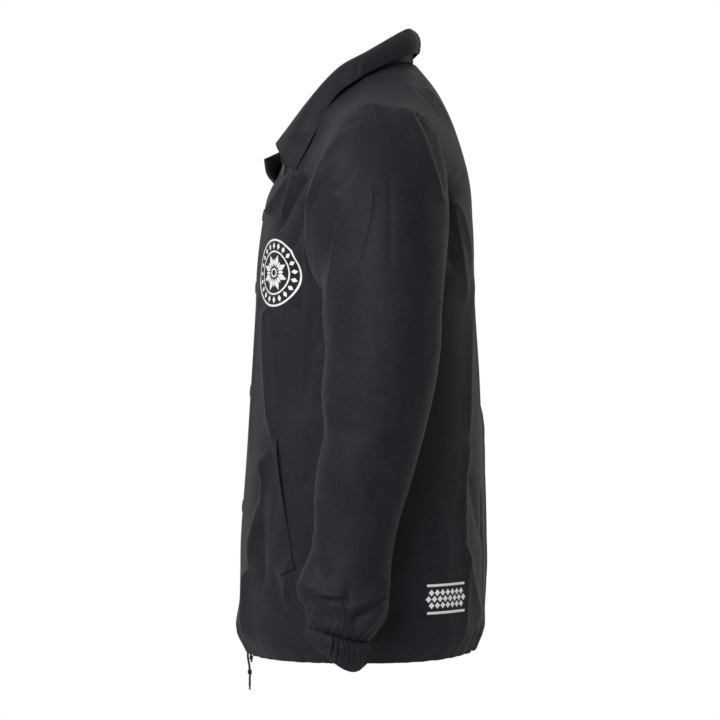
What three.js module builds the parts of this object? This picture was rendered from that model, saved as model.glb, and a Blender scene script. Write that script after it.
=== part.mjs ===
// A light woven jacket, filled out as worn: fronts, back, set-in sleeves, elastic cuffs,
// folded collar, pocket welts, press studs and a hem cord. Millimetres, +Z up, the front
// faces -Y and the wearer's left is +X. Z = 0 is just above the neck ends of the shoulder seams.
import * as THREE from "three";
import { mergeVertices } from "three/addons/utils/BufferGeometryUtils.js";

// Driving dimensions
const WALL = 1.6; // cloth as doubled and seamed, the wall of every panel
const SEAM_GAP = 0.3; // between neighbouring pieces
const SLEEVE_SEAT = 0.85; // where a sleeve's seam lies on a panel, between their walls
const LAP = 18; // how far each front passes the centre line
const LAP_CLEARANCE = 1.6; // each front's shift out of or into the lap
const UNDERARM = 0.56; // level of the armhole's lowest point
const NECK = 0.9; // level where the neck seam starts
const CORNER = 0.875; // level of a front's top corner
const FRONT_COLUMNS = 12;
const BACK_COLUMNS = 12; // for each half of the back
const CUFF_GATHERS = 28;
const CUFF_GATHER_DEPTH = 1.7;
const HEM_GATHERS = 11; // on each front, and on each half of the back
const HEM_GATHER_DEPTH = 2.2;
const CORD_RADIUS = 1.5;
const SNAP_RADIUS = 7.5;
const SNAP_HEIGHT = 2;

// Rows of each panel, as levels from hem (0) to shoulder (1)
const LOW_LEVELS = [0, 0.02, 0.045, 0.08, 0.13, 0.19, 0.25, 0.31, 0.37, 0.43, 0.5];
const FRONT_LEVELS = [
  ...LOW_LEVELS, 0.56, 0.6, 0.64, 0.68, 0.72, 0.76, 0.8, 0.825, 0.85, 0.875, 0.9, 0.925, 0.95, 0.975, 1,
];
const BACK_LEVELS = [
  ...LOW_LEVELS, 0.56, 0.6, 0.64, 0.68, 0.72, 0.76, 0.8, 0.833, 0.867, 0.9, 0.933, 0.967, 1,
];

// Sections of a front, one row each: from its inner edge to the side seam or armhole.
// lead and trail are the handles of the section's curve at those two ends.
const FRONT_SECTIONS = [
  { level: 0, inner: [-18, -141, -732], lead: [150, -4, 1], trail: [0, -92, -1], outer: [221, 8, -727] },
  { level: 0.045, inner: [-18, -154, -703], lead: [156, -4, 0], trail: [0, -98, 0], outer: [232, 8, -702] },
  { level: 0.1, inner: [-18, -150, -662], lead: [154, -4, 0], trail: [0, -96, 0], outer: [231, 8, -661] },
  { level: 0.2, inner: [-18, -149, -590], lead: [152, -4, 0], trail: [0, -95, 0], outer: [229, 9, -590] },
  { level: 0.32, inner: [-18, -142, -492], lead: [150, -4, 0], trail: [0, -92, 0], outer: [225, 12, -492] },
  { level: 0.44, inner: [-18, -136, -396], lead: [146, -4, 0], trail: [0, -90, 0], outer: [219, 18, -398] },
  { level: 0.56, inner: [-18, -130.5, -300], lead: [142, -4, 0], trail: [0, -84, 2], outer: [213, 24, -303] },
  { level: 0.64, inner: [-18, -128.5, -248], lead: [132, -4, 0], trail: [-20, -62, 4], outer: [205, -14, -270] },
  { level: 0.72, inner: [-18, -124, -204], lead: [118, -1, 0], trail: [-38, -48, 4], outer: [202, -40, -222] },
  { level: 0.8, inner: [-18, -117, -162], lead: [80, -1, -4], trail: [-56, -36, -4], outer: [204, -51, -165] },
  { level: 0.825, inner: [5, -111, -147], lead: [65, 6, -4], trail: [-58, -28, -4], outer: [206, -50.5, -146] },
  { level: 0.85, inner: [30, -102, -132], lead: [48, 12, -4], trail: [-60, -19, -4], outer: [209, -49, -128] },
  { level: 0.875, inner: [48, -97, -121], lead: [36, 17, -1], trail: [-66, -11, -4], outer: [214, -45, -108] },
  { level: 0.9, inner: [58, -102, -96], lead: [26, 34, -6], trail: [-74, -5, 0], outer: [221, -38, -92] },
  { level: 0.95, inner: [79, -52, -47], lead: [36, 6, -18], trail: [-68, -8, 8], outer: [234, -17, -73] },
  { level: 1, inner: [82, 6, -8], lead: [44, 1, -22], trail: [-60, 0, 14], outer: [245, 9, -61] },
];

// The right front's open top corner stands further forward than the left one's
const RIGHT_CORNER = [
  { level: 0.8, inner: [-18, -113.5, -162] },
  { level: 0.825, inner: [1, -106.5, -147], lead: [69, 2, -4] },
  { level: 0.85, inner: [22, -119, -127], lead: [56, 29, -9] },
  { level: 0.875, inner: [40, -123, -107], lead: [44, 43, -15] },
];

// Sections of half the back, from the centre back or the neck seam outwards
const BACK_SECTIONS = [
  { level: 0, inner: [0, 147, -724], lead: [142, 0, 0], trail: [0, 92, -1], outer: [221, 8, -727] },
  { level: 0.045, inner: [0, 157, -698], lead: [148, 0, 0], trail: [0, 100, 0], outer: [232, 8, -702] },
  { level: 0.1, inner: [0, 157, -660], lead: [146, 0, 0], trail: [0, 98, 0], outer: [231, 8, -661] },
  { level: 0.2, inner: [0, 157, -590], lead: [146, 0, 0], trail: [0, 97, 0], outer: [229, 9, -590] },
  { level: 0.32, inner: [0, 154.5, -492], lead: [143, 0, 0], trail: [0, 94, 0], outer: [225, 12, -492] },
  { level: 0.44, inner: [0, 151.5, -396], lead: [140, 0, 0], trail: [0, 90, 0], outer: [219, 18, -398] },
  { level: 0.56, inner: [0, 145.5, -300], lead: [135, 0, 0], trail: [0, 82, 2], outer: [213, 24, -303] },
  { level: 0.64, inner: [0, 144, -248], lead: [125, 0, 0], trail: [-12, 50, 4], outer: [205, 74, -268] },
  { level: 0.72, inner: [0, 142, -192], lead: [115, 0, 0], trail: [-40, 32, 6], outer: [204, 97, -220] },
  { level: 0.8, inner: [0, 133, -124], lead: [108, 4, -2], trail: [-52, 26, 10], outer: [206, 103, -168] },
  { level: 0.867, inner: [0, 98, -30], lead: [94, 12, -12], trail: [-60, 16, 16], outer: [218, 98, -112] },
  { level: 0.9, inner: [0, 67, 11], lead: [84, 14, -14], trail: [-62, 10, 18], outer: [227, 90, -90] },
  { level: 0.95, inner: [58, 46, 5], lead: [50, 6, -18], trail: [-62, 4, 18], outer: [239, 62, -68] },
  { level: 1, inner: [82, 6, -8], lead: [44, 1, -22], trail: [-60, 0, 14], outer: [245, 9, -61] },
];

// Rings of a sleeve from armhole to cuff: their inmost and outmost points, their depth, and tilt,
// how much higher a ring's front lies than its back
const SLEEVE_RINGS = [
  { level: 0, inner: [213, -303], outer: [245, -61], front: -50, back: 103, tilt: 0 },
  { level: 0.04, inner: [219, -307], outer: [266, -67], front: -54, back: 106, tilt: 0 },
  { level: 0.1, inner: [219.5, -312], outer: [296, -98], front: -66, back: 105, tilt: 0 },
  { level: 0.17, inner: [220, -320], outer: [319, -146], front: -57, back: 102, tilt: 0 },
  { level: 0.25, inner: [220.5, -332], outer: [334, -206], front: -43.5, back: 99, tilt: 0 },
  { level: 0.33, inner: [221.5, -349], outer: [342, -268], front: -44, back: 96, tilt: 0 },
  { level: 0.41, inner: [223.5, -376], outer: [346, -334], front: -41, back: 94, tilt: 0 },
  { level: 0.5, inner: [226, -412], outer: [347, -398], front: -45, back: 86, tilt: 0 },
  { level: 0.58, inner: [231, -450], outer: [346, -446], front: -42, back: 76, tilt: 0 },
  { level: 0.65, inner: [237, -486], outer: [344, -484], front: -49, back: 66, tilt: 0 },
  { level: 0.72, inner: [243, -520], outer: [341, -519], front: -53, back: 56, tilt: 0 },
  { level: 0.79, inner: [247, -553], outer: [339, -552], front: -53, back: 46, tilt: 0 },
  { level: 0.86, inner: [250, -589.5], outer: [339, -589.5], front: -58, back: 38, tilt: 2 },
  { level: 0.92, inner: [252, -621], outer: [341, -621], front: -70, back: 35, tilt: 7 },
  { level: 0.955, inner: [254, -641.5], outer: [342, -641.5], front: -73, back: 34, tilt: 11 },
  { level: 0.98, inner: [257, -663], outer: [339, -663], front: -64, back: 30, tilt: 15 },
  { level: 1, inner: [263, -684], outer: [333, -684], front: -61, back: 10, tilt: 18 },
];
const SLEEVE_HEAD = 0.12; // level by which the armhole's shape has become a plain ring
const SLEEVE_LEVELS = { left: 24, right: 19 };

// Rings of a cuff, from the sleeve's end to the opening
const CUFF_RINGS = [
  { level: 0, inner: 263, outer: 333, front: -61, back: 10, height: -684.4, tilt: 18 },
  { level: 0.5, inner: 265, outer: 332, front: -58.5, back: 7, height: -699.5, tilt: 22 },
  { level: 1, inner: 269, outer: 330, front: -53, back: 2, height: -714.5, tilt: 25 },
];

// Stations of half the collar from centre back (0) to its front end (1)
const COLLAR_STATIONS = [
  { level: 0, fold: [0, 66, 55], belly: [0, 8, 4], edge: [0, 75, 25] },
  { level: 0.21, fold: [38, 55, 51], belly: [7, 7, 4], edge: [54, 60, 17] },
  { level: 0.43, fold: [66, 8, 20], belly: [12, 0, 10], edge: [103, 8, -11] },
  { level: 0.58, fold: [68, -26, 0], belly: [12, -5, 10], edge: [111, -26, -33] },
  { level: 0.79, fold: [64, -66, -44], belly: [10, -12, 8], edge: [122, -52, -73] },
  { level: 1, fold: [56, -105, -93], belly: [7, -10, 6], edge: [131, -79.5, -134] },
];
const STAND_ROWS = 3;
const LEAF_ROWS = 5;

// Largest folds, one row each: where one runs, its half width and how far it stands out.
// On a sleeve they are placed from the side (y, z), on fronts and back from the front (x, z).
const SLEEVE_FOLDS = {
  left: [
    { from: [-27, -172], to: [-41, -248], width: 11, rise: -5 },
    { from: [14, -164], to: [0, -247], width: 13, rise: 3 },
    { from: [0, -247], to: [-41, -353], width: 13, rise: 3 },
    { from: [49, -72], to: [70, -155], width: 12, rise: 5 },
    { from: [70, -155], to: [94, -184], width: 12, rise: 4 },
    { from: [62, -105], to: [88, -178], width: 9, rise: -5 },
    { from: [-60, -582], to: [-32, -617], width: 12, rise: -4 },
    { from: [-68, -628], to: [-12, -648], width: 11, rise: -4 },
    { from: [35, -634], to: [-12, -672], width: 11, rise: -5 },
    { from: [-40, -440], to: [-34, -520], width: 15, rise: 3 },
  ],
  right: [
    { from: [-20, -180], to: [-38, -262], width: 12, rise: -5 },
    { from: [20, -160], to: [2, -300], width: 14, rise: 3 },
    { from: [52, -74], to: [84, -180], width: 13, rise: 5 },
    { from: [30, -400], to: [-30, -450], width: 14, rise: -4 },
    { from: [-58, -590], to: [-20, -622], width: 12, rise: -4 },
    { from: [32, -628], to: [-20, -668], width: 12, rise: -5 },
  ],
};
const FRONT_FOLDS = {
  left: [
    { from: [150, -180], to: [60, -290], width: 22, rise: 4 },
    { from: [186, -300], to: [176, -460], width: 18, rise: 4 },
    { from: [110, -330], to: [128, -470], width: 16, rise: -3 },
    { from: [70, -480], to: [52, -690], width: 17, rise: 4 },
    { from: [196, -600], to: [180, -700], width: 15, rise: 4 },
  ],
  right: [
    { from: [140, -175], to: [70, -280], width: 22, rise: 4 },
    { from: [182, -320], to: [168, -500], width: 18, rise: 4 },
    { from: [80, -500], to: [66, -690], width: 17, rise: 4 },
    { from: [150, -610], to: [160, -700], width: 15, rise: -3 },
  ],
};
const BACK_FOLDS = [
  { from: [60, -20], to: [170, -110], width: 14, rise: 4 },
  { from: [-50, -16], to: [-165, -120], width: 14, rise: 4 },
  { from: [120, -200], to: [175, -150], width: 14, rise: -4 },
  { from: [-112, -210], to: [-178, -150], width: 14, rise: -4 },
  { from: [96, -250], to: [80, -560], width: 22, rise: 4 },
  { from: [-104, -270], to: [-76, -600], width: 22, rise: 4 },
  { from: [150, -480], to: [160, -700], width: 18, rise: 4 },
  { from: [-160, -500], to: [-148, -700], width: 18, rise: 4 },
  { from: [10, -540], to: [22, -700], width: 18, rise: 3 },
];

// Pocket welt: its four corners as (u, level) on a front
const WELT = {
  open: [[0.49, 0.36], [0.66, 0.165]],
  sewn: [[0.405, 0.355], [0.572, 0.15]],
  thickness: 1.4,
  length: 8,
  width: 3,
};

// Press studs down the left front: the level of each, its distance from the centre line
// and what a flat base needs over curved cloth
const SNAPS = [
  { level: 0.862, across: 62, clearance: 1.2 },
  { level: 0.765, across: 0, clearance: 0.3 },
  { level: 0.6, across: 0, clearance: 0.3 },
  { level: 0.43, across: 0, clearance: 0.3 },
  { level: 0.25, across: 0, clearance: 0.3 },
];

// Hem cord: where each end leaves the left front's hem, and the hanging end's way down from it
const CORD_ACROSS = 13;
const STUB_ACROSS = 64;
const CORD_DROP = [[0, 0, -0.5], [0.6, 0.3, -8], [0.4, 1.4, -15], [0, 2.4, -22]];
const KNOT_DROP = [0, 2.6, -26.6];
const STUB_DROP = [0, 0, -3.9];
const KNOT_PROFILE = [
  { radius: 0, height: 4.3 }, { radius: 2.6, height: 3.6 }, { radius: 4, height: 1.2 },
  { radius: 4, height: -1.4 }, { radius: 2.4, height: -3.8 }, { radius: 1.5, height: -5 },
  { radius: 1.5, height: -18 }, { radius: 2.5, height: -24 }, { radius: 0, height: -24.4 },
];
const STUB_PROFILE = [
  { radius: 0, height: 3.4 }, { radius: 2.8, height: 2.4 }, { radius: 3.8, height: 0 },
  { radius: 2.6, height: -2.6 }, { radius: 1.4, height: -4 }, { radius: 1.9, height: -9 },
  { radius: 0, height: -9.4 },
];

const NYLON = { color: 0x323135, roughness: 0.62, metalness: 0 };
const ELASTIC = { color: 0x2c2b2f, roughness: 0.72, metalness: 0 };
const SNAP_PAINT = { color: 0x1e1e21, roughness: 0.35, metalness: 0.3 };
const CORD_YARN = { color: 0x17171a, roughness: 0.85, metalness: 0 };

const vector = (values) => new THREE.Vector3(...values);
const smooth = (t) => THREE.MathUtils.smoothstep(t, 0, 1);

// Smooth curve through one column of a table, with a corner at each level in corners
function column(rows, name, corners = []) {
  const levels = rows.map((row) => row.level);
  const values = rows.map((row) => [row[name]].flat());
  const last = rows.length - 1;
  const slope = (index, side) => {
    const sharp = corners.includes(levels[index]);
    const from = sharp && side > 0 ? index : Math.max(index - 1, 0);
    const to = sharp && side < 0 ? index : Math.min(index + 1, last);
    return values[index].map((_, k) => (values[to][k] - values[from][k]) / (levels[to] - levels[from]));
  };
  return (level) => {
    let i = 0;
    while (i < last - 1 && level > levels[i + 1]) i += 1;
    const span = levels[i + 1] - levels[i];
    const t = THREE.MathUtils.clamp((level - levels[i]) / span, 0, 1);
    const start = slope(i, 1);
    const end = slope(i + 1, -1);
    const result = values[i].map((value, k) => {
      const rise = values[i + 1][k] - value;
      const bend = (1 - t) * (start[k] * span - rise) - t * (end[k] * span - rise);
      return value + t * rise + t * (1 - t) * bend;
    });
    return result.length === 1 ? result[0] : result;
  };
}

// Point of a section at u from its inner (0) to its outer end (1), and its four columns
function panel(rows, innerCorners) {
  const inner = column(rows, "inner", innerCorners);
  const outer = column(rows, "outer", [UNDERARM]);
  const lead = column(rows, "lead");
  const trail = column(rows, "trail");
  return (u, level) => {
    const start = vector(inner(level));
    const end = vector(outer(level));
    const first = vector(lead(level)).add(start);
    const second = vector(trail(level)).add(end);
    return new THREE.CubicBezierCurve3(start, first, second, end).getPoint(u);
  };
}

// Height of all folds at one place of the plane that they are drawn in
function foldHeight(folds, across, up) {
  return folds.reduce((sum, { from, to, width, rise }) => {
    const run = [to[0] - from[0], to[1] - from[1]];
    const reach = (across - from[0]) * run[0] + (up - from[1]) * run[1];
    const t = THREE.MathUtils.clamp(reach / (run[0] ** 2 + run[1] ** 2), 0, 1);
    const away = Math.hypot(across - from[0] - t * run[0], up - from[1] - t * run[1]);
    return sum + rise * Math.exp(-((away / width) ** 2));
  }, 0);
}

// Unit normals of a grid of points, from each point's neighbours
function gridNormals(grid, closed, outward) {
  const columns = grid[0].length;
  return grid.map((row, j) => row.map((_, i) => {
    const left = closed ? row[(i + columns - 1) % columns] : row[Math.max(i - 1, 0)];
    const right = closed ? row[(i + 1) % columns] : row[Math.min(i + 1, columns - 1)];
    const lower = grid[Math.max(j - 1, 0)][i];
    const upper = grid[Math.min(j + 1, grid.length - 1)][i];
    const normal = right.clone().sub(left).cross(upper.clone().sub(lower));
    return normal.normalize().multiplyScalar(outward);
  }));
}

// A patch is a grid with its normals; displace moves each point along its normal
function makePatch(grid, { closed = false, outward = 1, displace = null } = {}) {
  if (displace) {
    const normals = gridNormals(grid, closed, outward);
    grid = grid.map((row, j) => row.map((point, i) =>
      point.clone().addScaledVector(normals[j][i], displace(point, normals[j][i], i, j))));
  }
  return { grid, normals: gridNormals(grid, closed, outward), closed, reversed: outward < 0 };
}

function mirrorPatch(patch) {
  const flip = (rows) => rows.map((row) => row.map((v) => new THREE.Vector3(-v.x, v.y, v.z)));
  return { ...patch, grid: flip(patch.grid), normals: flip(patch.normals), reversed: !patch.reversed };
}

// Closed cloth wall over one or more patches, which join where their points coincide
function clothWall(patches, thickness = WALL) {
  const points = [];
  const normals = [];
  const seen = new Map();
  const quads = [];
  const indexOf = (point, normal) => {
    const key = point.toArray().map((value) => Math.round(value * 500)).join();
    if (!seen.has(key)) {
      seen.set(key, points.length);
      points.push(point);
      normals.push(normal);
    }
    return seen.get(key);
  };
  for (const { grid, normals: directions, closed, reversed } of patches) {
    const index = grid.map((row, j) => row.map((point, i) => indexOf(point, directions[j][i])));
    const columns = grid[0].length;
    for (let j = 0; j < grid.length - 1; j += 1) {
      for (let i = 0; i < (closed ? columns : columns - 1); i += 1) {
        const next = (i + 1) % columns;
        const quad = [index[j][i], index[j][next], index[j + 1][next], index[j + 1][i]];
        quads.push(reversed ? quad.reverse() : quad);
      }
    }
  }
  const edges = new Set(quads.flatMap((quad) => quad.map((a, k) => `${a},${quad[(k + 1) % 4]}`)));
  const count = points.length;
  const triangles = quads.flatMap(([a, b, c, d]) => [
    a, b, c, a, c, d, a + count, c + count, b + count, a + count, d + count, c + count,
  ]);
  for (const quad of quads) {
    quad.forEach((a, k) => {
      const b = quad[(k + 1) % 4];
      if (!edges.has(`${b},${a}`)) triangles.push(a, a + count, b + count, a, b + count, b);
    });
  }
  const faces = [0.5, -0.5].flatMap((side) => points.flatMap((point, k) =>
    point.clone().addScaledVector(normals[k], side * thickness).toArray()));
  const geometry = new THREE.BufferGeometry();
  geometry.setAttribute("position", new THREE.Float32BufferAttribute(faces, 3));
  geometry.setIndex(triangles);
  return geometry;
}

const jacket = new THREE.Group();

function addPiece(name, geometry, finish) {
  const mesh = new THREE.Mesh(geometry, new THREE.MeshStandardMaterial(finish));
  mesh.name = name;
  jacket.add(mesh);
  return mesh;
}

// Fronts. Both are worked out on the +X side; the right one is then mirrored.
function frontPatch(side) {
  const rows = FRONT_SECTIONS.map((row) => {
    const other = side === "right" && RIGHT_CORNER.find((corner) => corner.level === row.level);
    return other ? { ...row, ...other } : row;
  });
  const place = panel(rows, [CORNER, NECK]);
  const grid = FRONT_LEVELS.map((level) =>
    Array.from({ length: FRONT_COLUMNS + 1 }, (_, i) => place(i / FRONT_COLUMNS, level)));
  const lapShift = side === "left" ? LAP_CLEARANCE : -LAP_CLEARANCE;
  const displace = (point, normal, i, j) => {
    const inside = Math.sin((Math.PI * Math.min(i, 11.2)) / FRONT_COLUMNS) ** 0.5;
    const lap = lapShift * smooth((62 - point.x) / 34) * smooth((-130 - point.z) / 30);
    const gather = Math.sin(HEM_GATHERS * Math.PI * (i / FRONT_COLUMNS) * 1.09);
    const hem = HEM_GATHER_DEPTH * gather * smooth((-650 - point.z) / 70);
    const free = inside * smooth((point.x - 22) / 30);
    const edge = i === FRONT_COLUMNS || j === FRONT_LEVELS.length - 1 ? 0 : 1;
    return edge * (lap + (hem + foldHeight(FRONT_FOLDS[side], point.x, point.z)) * free);
  };
  return makePatch(grid, { displace });
}

// Half of the back, on the +X side; the other half has its own folds
function backPatch(side) {
  const place = panel(BACK_SECTIONS, [NECK]);
  const grid = BACK_LEVELS.map((level) =>
    Array.from({ length: BACK_COLUMNS + 1 }, (_, i) => place(i / BACK_COLUMNS, level)));
  const displace = (point, normal, i, j) => {
    const edge = i === BACK_COLUMNS || j === BACK_LEVELS.length - 1 ? 0 : 1;
    const inside = Math.cos((Math.PI * i) / (2.1 * BACK_COLUMNS)) ** 0.5;
    const neck = i === 0 && BACK_LEVELS[j] >= NECK ? 0 : 1;
    const gather = Math.cos(HEM_GATHERS * Math.PI * (i / BACK_COLUMNS) * 1.09);
    const hem = HEM_GATHER_DEPTH * gather * smooth((-650 - point.z) / 70);
    return edge * neck * inside * (hem + foldHeight(BACK_FOLDS, side * point.x, point.z));
  };
  const patch = makePatch(grid, { outward: -1, displace });
  patch.normals.forEach((row, j) => {
    if (BACK_LEVELS[j] <= NECK) row[0].setX(0).normalize();
  });
  return patch;
}

// Moves an open grid's outer column and top row back by half the seam gap
function trimSeams(patch, topDirection) {
  const last = patch.grid[0].length - 1;
  patch.grid.forEach((row) => {
    const along = row[last - 1].clone().sub(row[last]).normalize();
    row[last].addScaledVector(along, SEAM_GAP / 2);
  });
  patch.grid.at(-1).forEach((point) => point.addScaledVector(topDirection, SEAM_GAP / 2));
  return patch;
}

const fronts = { left: frontPatch("left"), right: frontPatch("right") };
const backs = { left: backPatch(1), right: backPatch(-1) };
const columnOf = (patch, i) => patch.grid.map((row) => row[i].clone());
const edgeOf = (patch) => patch.grid.map((row, j) => ({
  point: row.at(-1).clone(),
  normal: patch.normals[j].at(-1).clone(),
  beyond: row.at(-1).clone().sub(row.at(-2)).normalize(),
}));
const armholes = Object.fromEntries(["left", "right"].map((side) => {
  const from = FRONT_LEVELS.indexOf(UNDERARM);
  const front = edgeOf(fronts[side]).slice(from).reverse();
  const back = edgeOf(backs[side]).slice(from + 1, -1);
  return [side, { front, back }];
}));
const necks = Object.fromEntries(["left", "right"].map((side) => {
  const back = columnOf(backs[side], 0).slice(BACK_LEVELS.indexOf(NECK));
  const front = columnOf(fronts[side], 0).slice(FRONT_LEVELS.indexOf(NECK), -1).reverse();
  return [side, [...back, ...front]];
}));
const weltPatches = Object.fromEntries(["left", "right"].map((side) => [side, weltPatch(fronts[side])]));
const snapPlaces = SNAPS.map((snap) => snapPlace(fronts.left, snap));

// Neighbours share their normals along the side seam and the shoulder seam
function shareNormals(front, back) {
  const share = (a, b) => {
    a.add(b).normalize();
    b.copy(a);
  };
  for (let j = 0; FRONT_LEVELS[j] <= UNDERARM; j += 1) {
    share(front.normals[j].at(-1), back.normals[j].at(-1));
  }
  front.normals.at(-1).forEach((normal, i) => share(normal, back.normals.at(-1)[i]));
}

const FORWARD = new THREE.Vector3(0, -1, 0);
const BACKWARD = new THREE.Vector3(0, 1, 0);
shareNormals(fronts.left, backs.left);
shareNormals(fronts.right, backs.right);
trimSeams(fronts.left, FORWARD);
trimSeams(fronts.right, FORWARD);
trimSeams(backs.left, BACKWARD);
trimSeams(backs.right, BACKWARD);
addPiece("front_left", clothWall([fronts.left]), NYLON);
addPiece("front_right", clothWall([mirrorPatch(fronts.right)]), NYLON);
addPiece("back", clothWall([backs.left, mirrorPatch(backs.right)]), NYLON);

// Sleeves: rings that start on the armhole's own points and become plain ovals
function ringPoint(ring, angle) {
  const round = (value) => Math.sign(value) * Math.abs(value) ** 0.94;
  const out = round(Math.cos(angle));
  const forward = round(Math.sin(angle));
  const middle = [(ring.inner[0] + ring.outer[0]) / 2, (ring.inner[1] + ring.outer[1]) / 2];
  const half = [(ring.outer[0] - ring.inner[0]) / 2, (ring.outer[1] - ring.inner[1]) / 2];
  return new THREE.Vector3(
    middle[0] + out * half[0],
    (ring.front + ring.back) / 2 + (forward * (ring.front - ring.back)) / 2,
    middle[1] + out * half[1] + (forward * ring.tilt) / 2,
  );
}

function arcAngles(edge, from, to) {
  const reach = [0];
  edge.slice(1).forEach(({ point }, k) => reach.push(reach[k] + point.distanceTo(edge[k].point)));
  return reach.map((value) => from + ((to - from) * value) / reach.at(-1));
}

function sleevePatch(side) {
  const { front, back } = armholes[side];
  const start = [...front, ...back];
  const angles = [
    ...arcAngles(front, 0, Math.PI),
    ...arcAngles([front.at(-1), ...back, front[0]], Math.PI, 2 * Math.PI).slice(1, -1),
  ];
  const read = Object.fromEntries(["inner", "outer", "front", "back", "tilt"].map((name) =>
    [name, column(SLEEVE_RINGS, name)]));
  const ringAt = (level) => Object.fromEntries(Object.entries(read).map(([name, at]) => [name, at(level)]));
  const count = SLEEVE_LEVELS[side];
  const firstRing = ringAt(0.04);
  const grid = Array.from({ length: count + 1 }, (_, j) => {
    const level = (j / count) ** 1.12;
    const ring = ringAt(level);
    return start.map(({ point, normal, beyond }, k) => {
      const away = ringPoint(firstRing, angles[k]).sub(point);
      const along = Math.max(away.dot(beyond), 0);
      const across = Math.max(away.dot(normal), 0);
      const reach = Math.hypot(along, across);
      const seam = point.clone()
        .addScaledVector(beyond, (1.3 * SEAM_GAP * along) / reach)
        .addScaledVector(normal, ((SLEEVE_SEAT + WALL / 2) * across) / reach);
      return seam.lerp(ringPoint(ring, angles[k]), smooth(level / SLEEVE_HEAD) ** 0.6);
    });
  });
  const displace = (point, normal, i, j) => {
    const inside = smooth(j / 2) * smooth((count - j) / 1.5);
    return inside * smooth(0.25 + normal.x) * foldHeight(SLEEVE_FOLDS[side], point.y, point.z);
  };
  return makePatch(grid, { closed: true, displace });
}

const sleeves = { left: sleevePatch("left"), right: sleevePatch("right") };
addPiece("sleeve_left", clothWall([sleeves.left]), NYLON);
addPiece("sleeve_right", clothWall([mirrorPatch(sleeves.right)]), NYLON);

// Cuffs: short ovals with one gather for each pair of columns
function cuffPatch() {
  const samples = 2 * CUFF_GATHERS;
  const grid = CUFF_RINGS.map(({ inner, outer, front, back, height, tilt }) =>
    Array.from({ length: samples }, (_, i) => {
      const angle = (2 * Math.PI * i) / samples;
      const depth = i % 2 ? CUFF_GATHER_DEPTH / 2 : -CUFF_GATHER_DEPTH / 2;
      return new THREE.Vector3(
        (inner + outer) / 2 + Math.cos(angle) * ((outer - inner) / 2 + depth),
        (front + back) / 2 + Math.sin(angle) * ((front - back) / 2 - depth),
        height + (Math.sin(angle) * tilt) / 2,
      );
    }));
  return makePatch(grid, { closed: true });
}

addPiece("cuff_left", clothWall([cuffPatch()]), ELASTIC);
addPiece("cuff_right", clothWall([mirrorPatch(cuffPatch())]), ELASTIC);

// Collar: from the neck seam up the stand, over the fold and down the leaf
function collarHalf(side) {
  const seam = necks[side];
  const bottom = seam.flatMap((point, k) =>
    (k < seam.length - 1 ? [point, point.clone().lerp(seam[k + 1], 0.5)] : [point]));
  const read = Object.fromEntries(["fold", "belly", "edge"].map((name) =>
    [name, column(COLLAR_STATIONS, name)]));
  return bottom.map((point, k) => {
    const station = k / (bottom.length - 1);
    const fold = vector(read.fold(station));
    const edge = vector(read.edge(station));
    const belly = fold.clone().lerp(edge, 0.45).add(vector(read.belly(station)));
    const up = fold.clone().sub(point).normalize();
    const base = point.clone().addScaledVector(up, SEAM_GAP + 0.6 * WALL);
    const profile = [];
    for (let j = 0; j < STAND_ROWS; j += 1) profile.push(base.clone().lerp(fold, j / STAND_ROWS));
    const leaf = new THREE.QuadraticBezierCurve3(fold, belly, edge);
    for (let j = 0; j <= LEAF_ROWS; j += 1) profile.push(leaf.getPoint(j / LEAF_ROWS));
    return profile;
  });
}

function collarPatch() {
  const left = collarHalf("left");
  const right = collarHalf("right").map((profile) =>
    profile.map((point) => new THREE.Vector3(-point.x, point.y, point.z)));
  const columns = [...left.slice(1).reverse(), ...right];
  const grid = columns[0].map((_, j) => columns.map((profile) => profile[j]));
  return makePatch(grid);
}

addPiece("collar", clothWall([collarPatch()]), NYLON);

// What lies on a front is made from its points, moved out
function onFront(patch, u, level, lift) {
  const last = patch.grid[0].length - 1;
  const x = THREE.MathUtils.clamp(u, 0, 1) * last;
  const i = Math.min(Math.floor(x), last - 1);
  let j = 0;
  while (j < FRONT_LEVELS.length - 2 && level > FRONT_LEVELS[j + 1]) j += 1;
  const y = (level - FRONT_LEVELS[j]) / (FRONT_LEVELS[j + 1] - FRONT_LEVELS[j]);
  const blend = (rows) => rows[j][i].clone().lerp(rows[j][i + 1], x - i)
    .lerp(rows[j + 1][i].clone().lerp(rows[j + 1][i + 1], x - i), y);
  const normal = blend(patch.normals).normalize();
  return { point: blend(patch.grid).addScaledVector(normal, lift), normal };
}

function weltPatch(front) {
  const lift = WALL / 2 + SEAM_GAP + WELT.thickness / 2 + 0.8;
  const mix = THREE.MathUtils.lerp;
  const grid = Array.from({ length: WELT.length + 1 }, (_, j) =>
    Array.from({ length: WELT.width + 1 }, (_, i) => {
      const down = 1 - j / WELT.length;
      const out = i / WELT.width;
      const [top, bottom] = [0, 1].map((end) => [0, 1].map((axis) =>
        mix(WELT.sewn[end][axis], WELT.open[end][axis], out)));
      return onFront(front, mix(top[0], bottom[0], down), mix(top[1], bottom[1], down), lift).point;
    }));
  return makePatch(grid);
}

addPiece("welt_left", clothWall([weltPatches.left], WELT.thickness), NYLON);
addPiece("welt_right", clothWall([mirrorPatch(weltPatches.right)], WELT.thickness), NYLON);

// Press studs: domed caps, each square to the cloth under it
function snapPlace(front, { level, across, clearance }) {
  const row = front.grid[FRONT_LEVELS.findIndex((value) => value >= level)];
  let i = 0;
  while (i < row.length - 2 && row[i + 1].x < across) i += 1;
  const u = (i + (across - row[i].x) / (row[i + 1].x - row[i].x)) / (row.length - 1);
  return onFront(front, u, level, WALL / 2 + SEAM_GAP + clearance);
}

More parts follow.
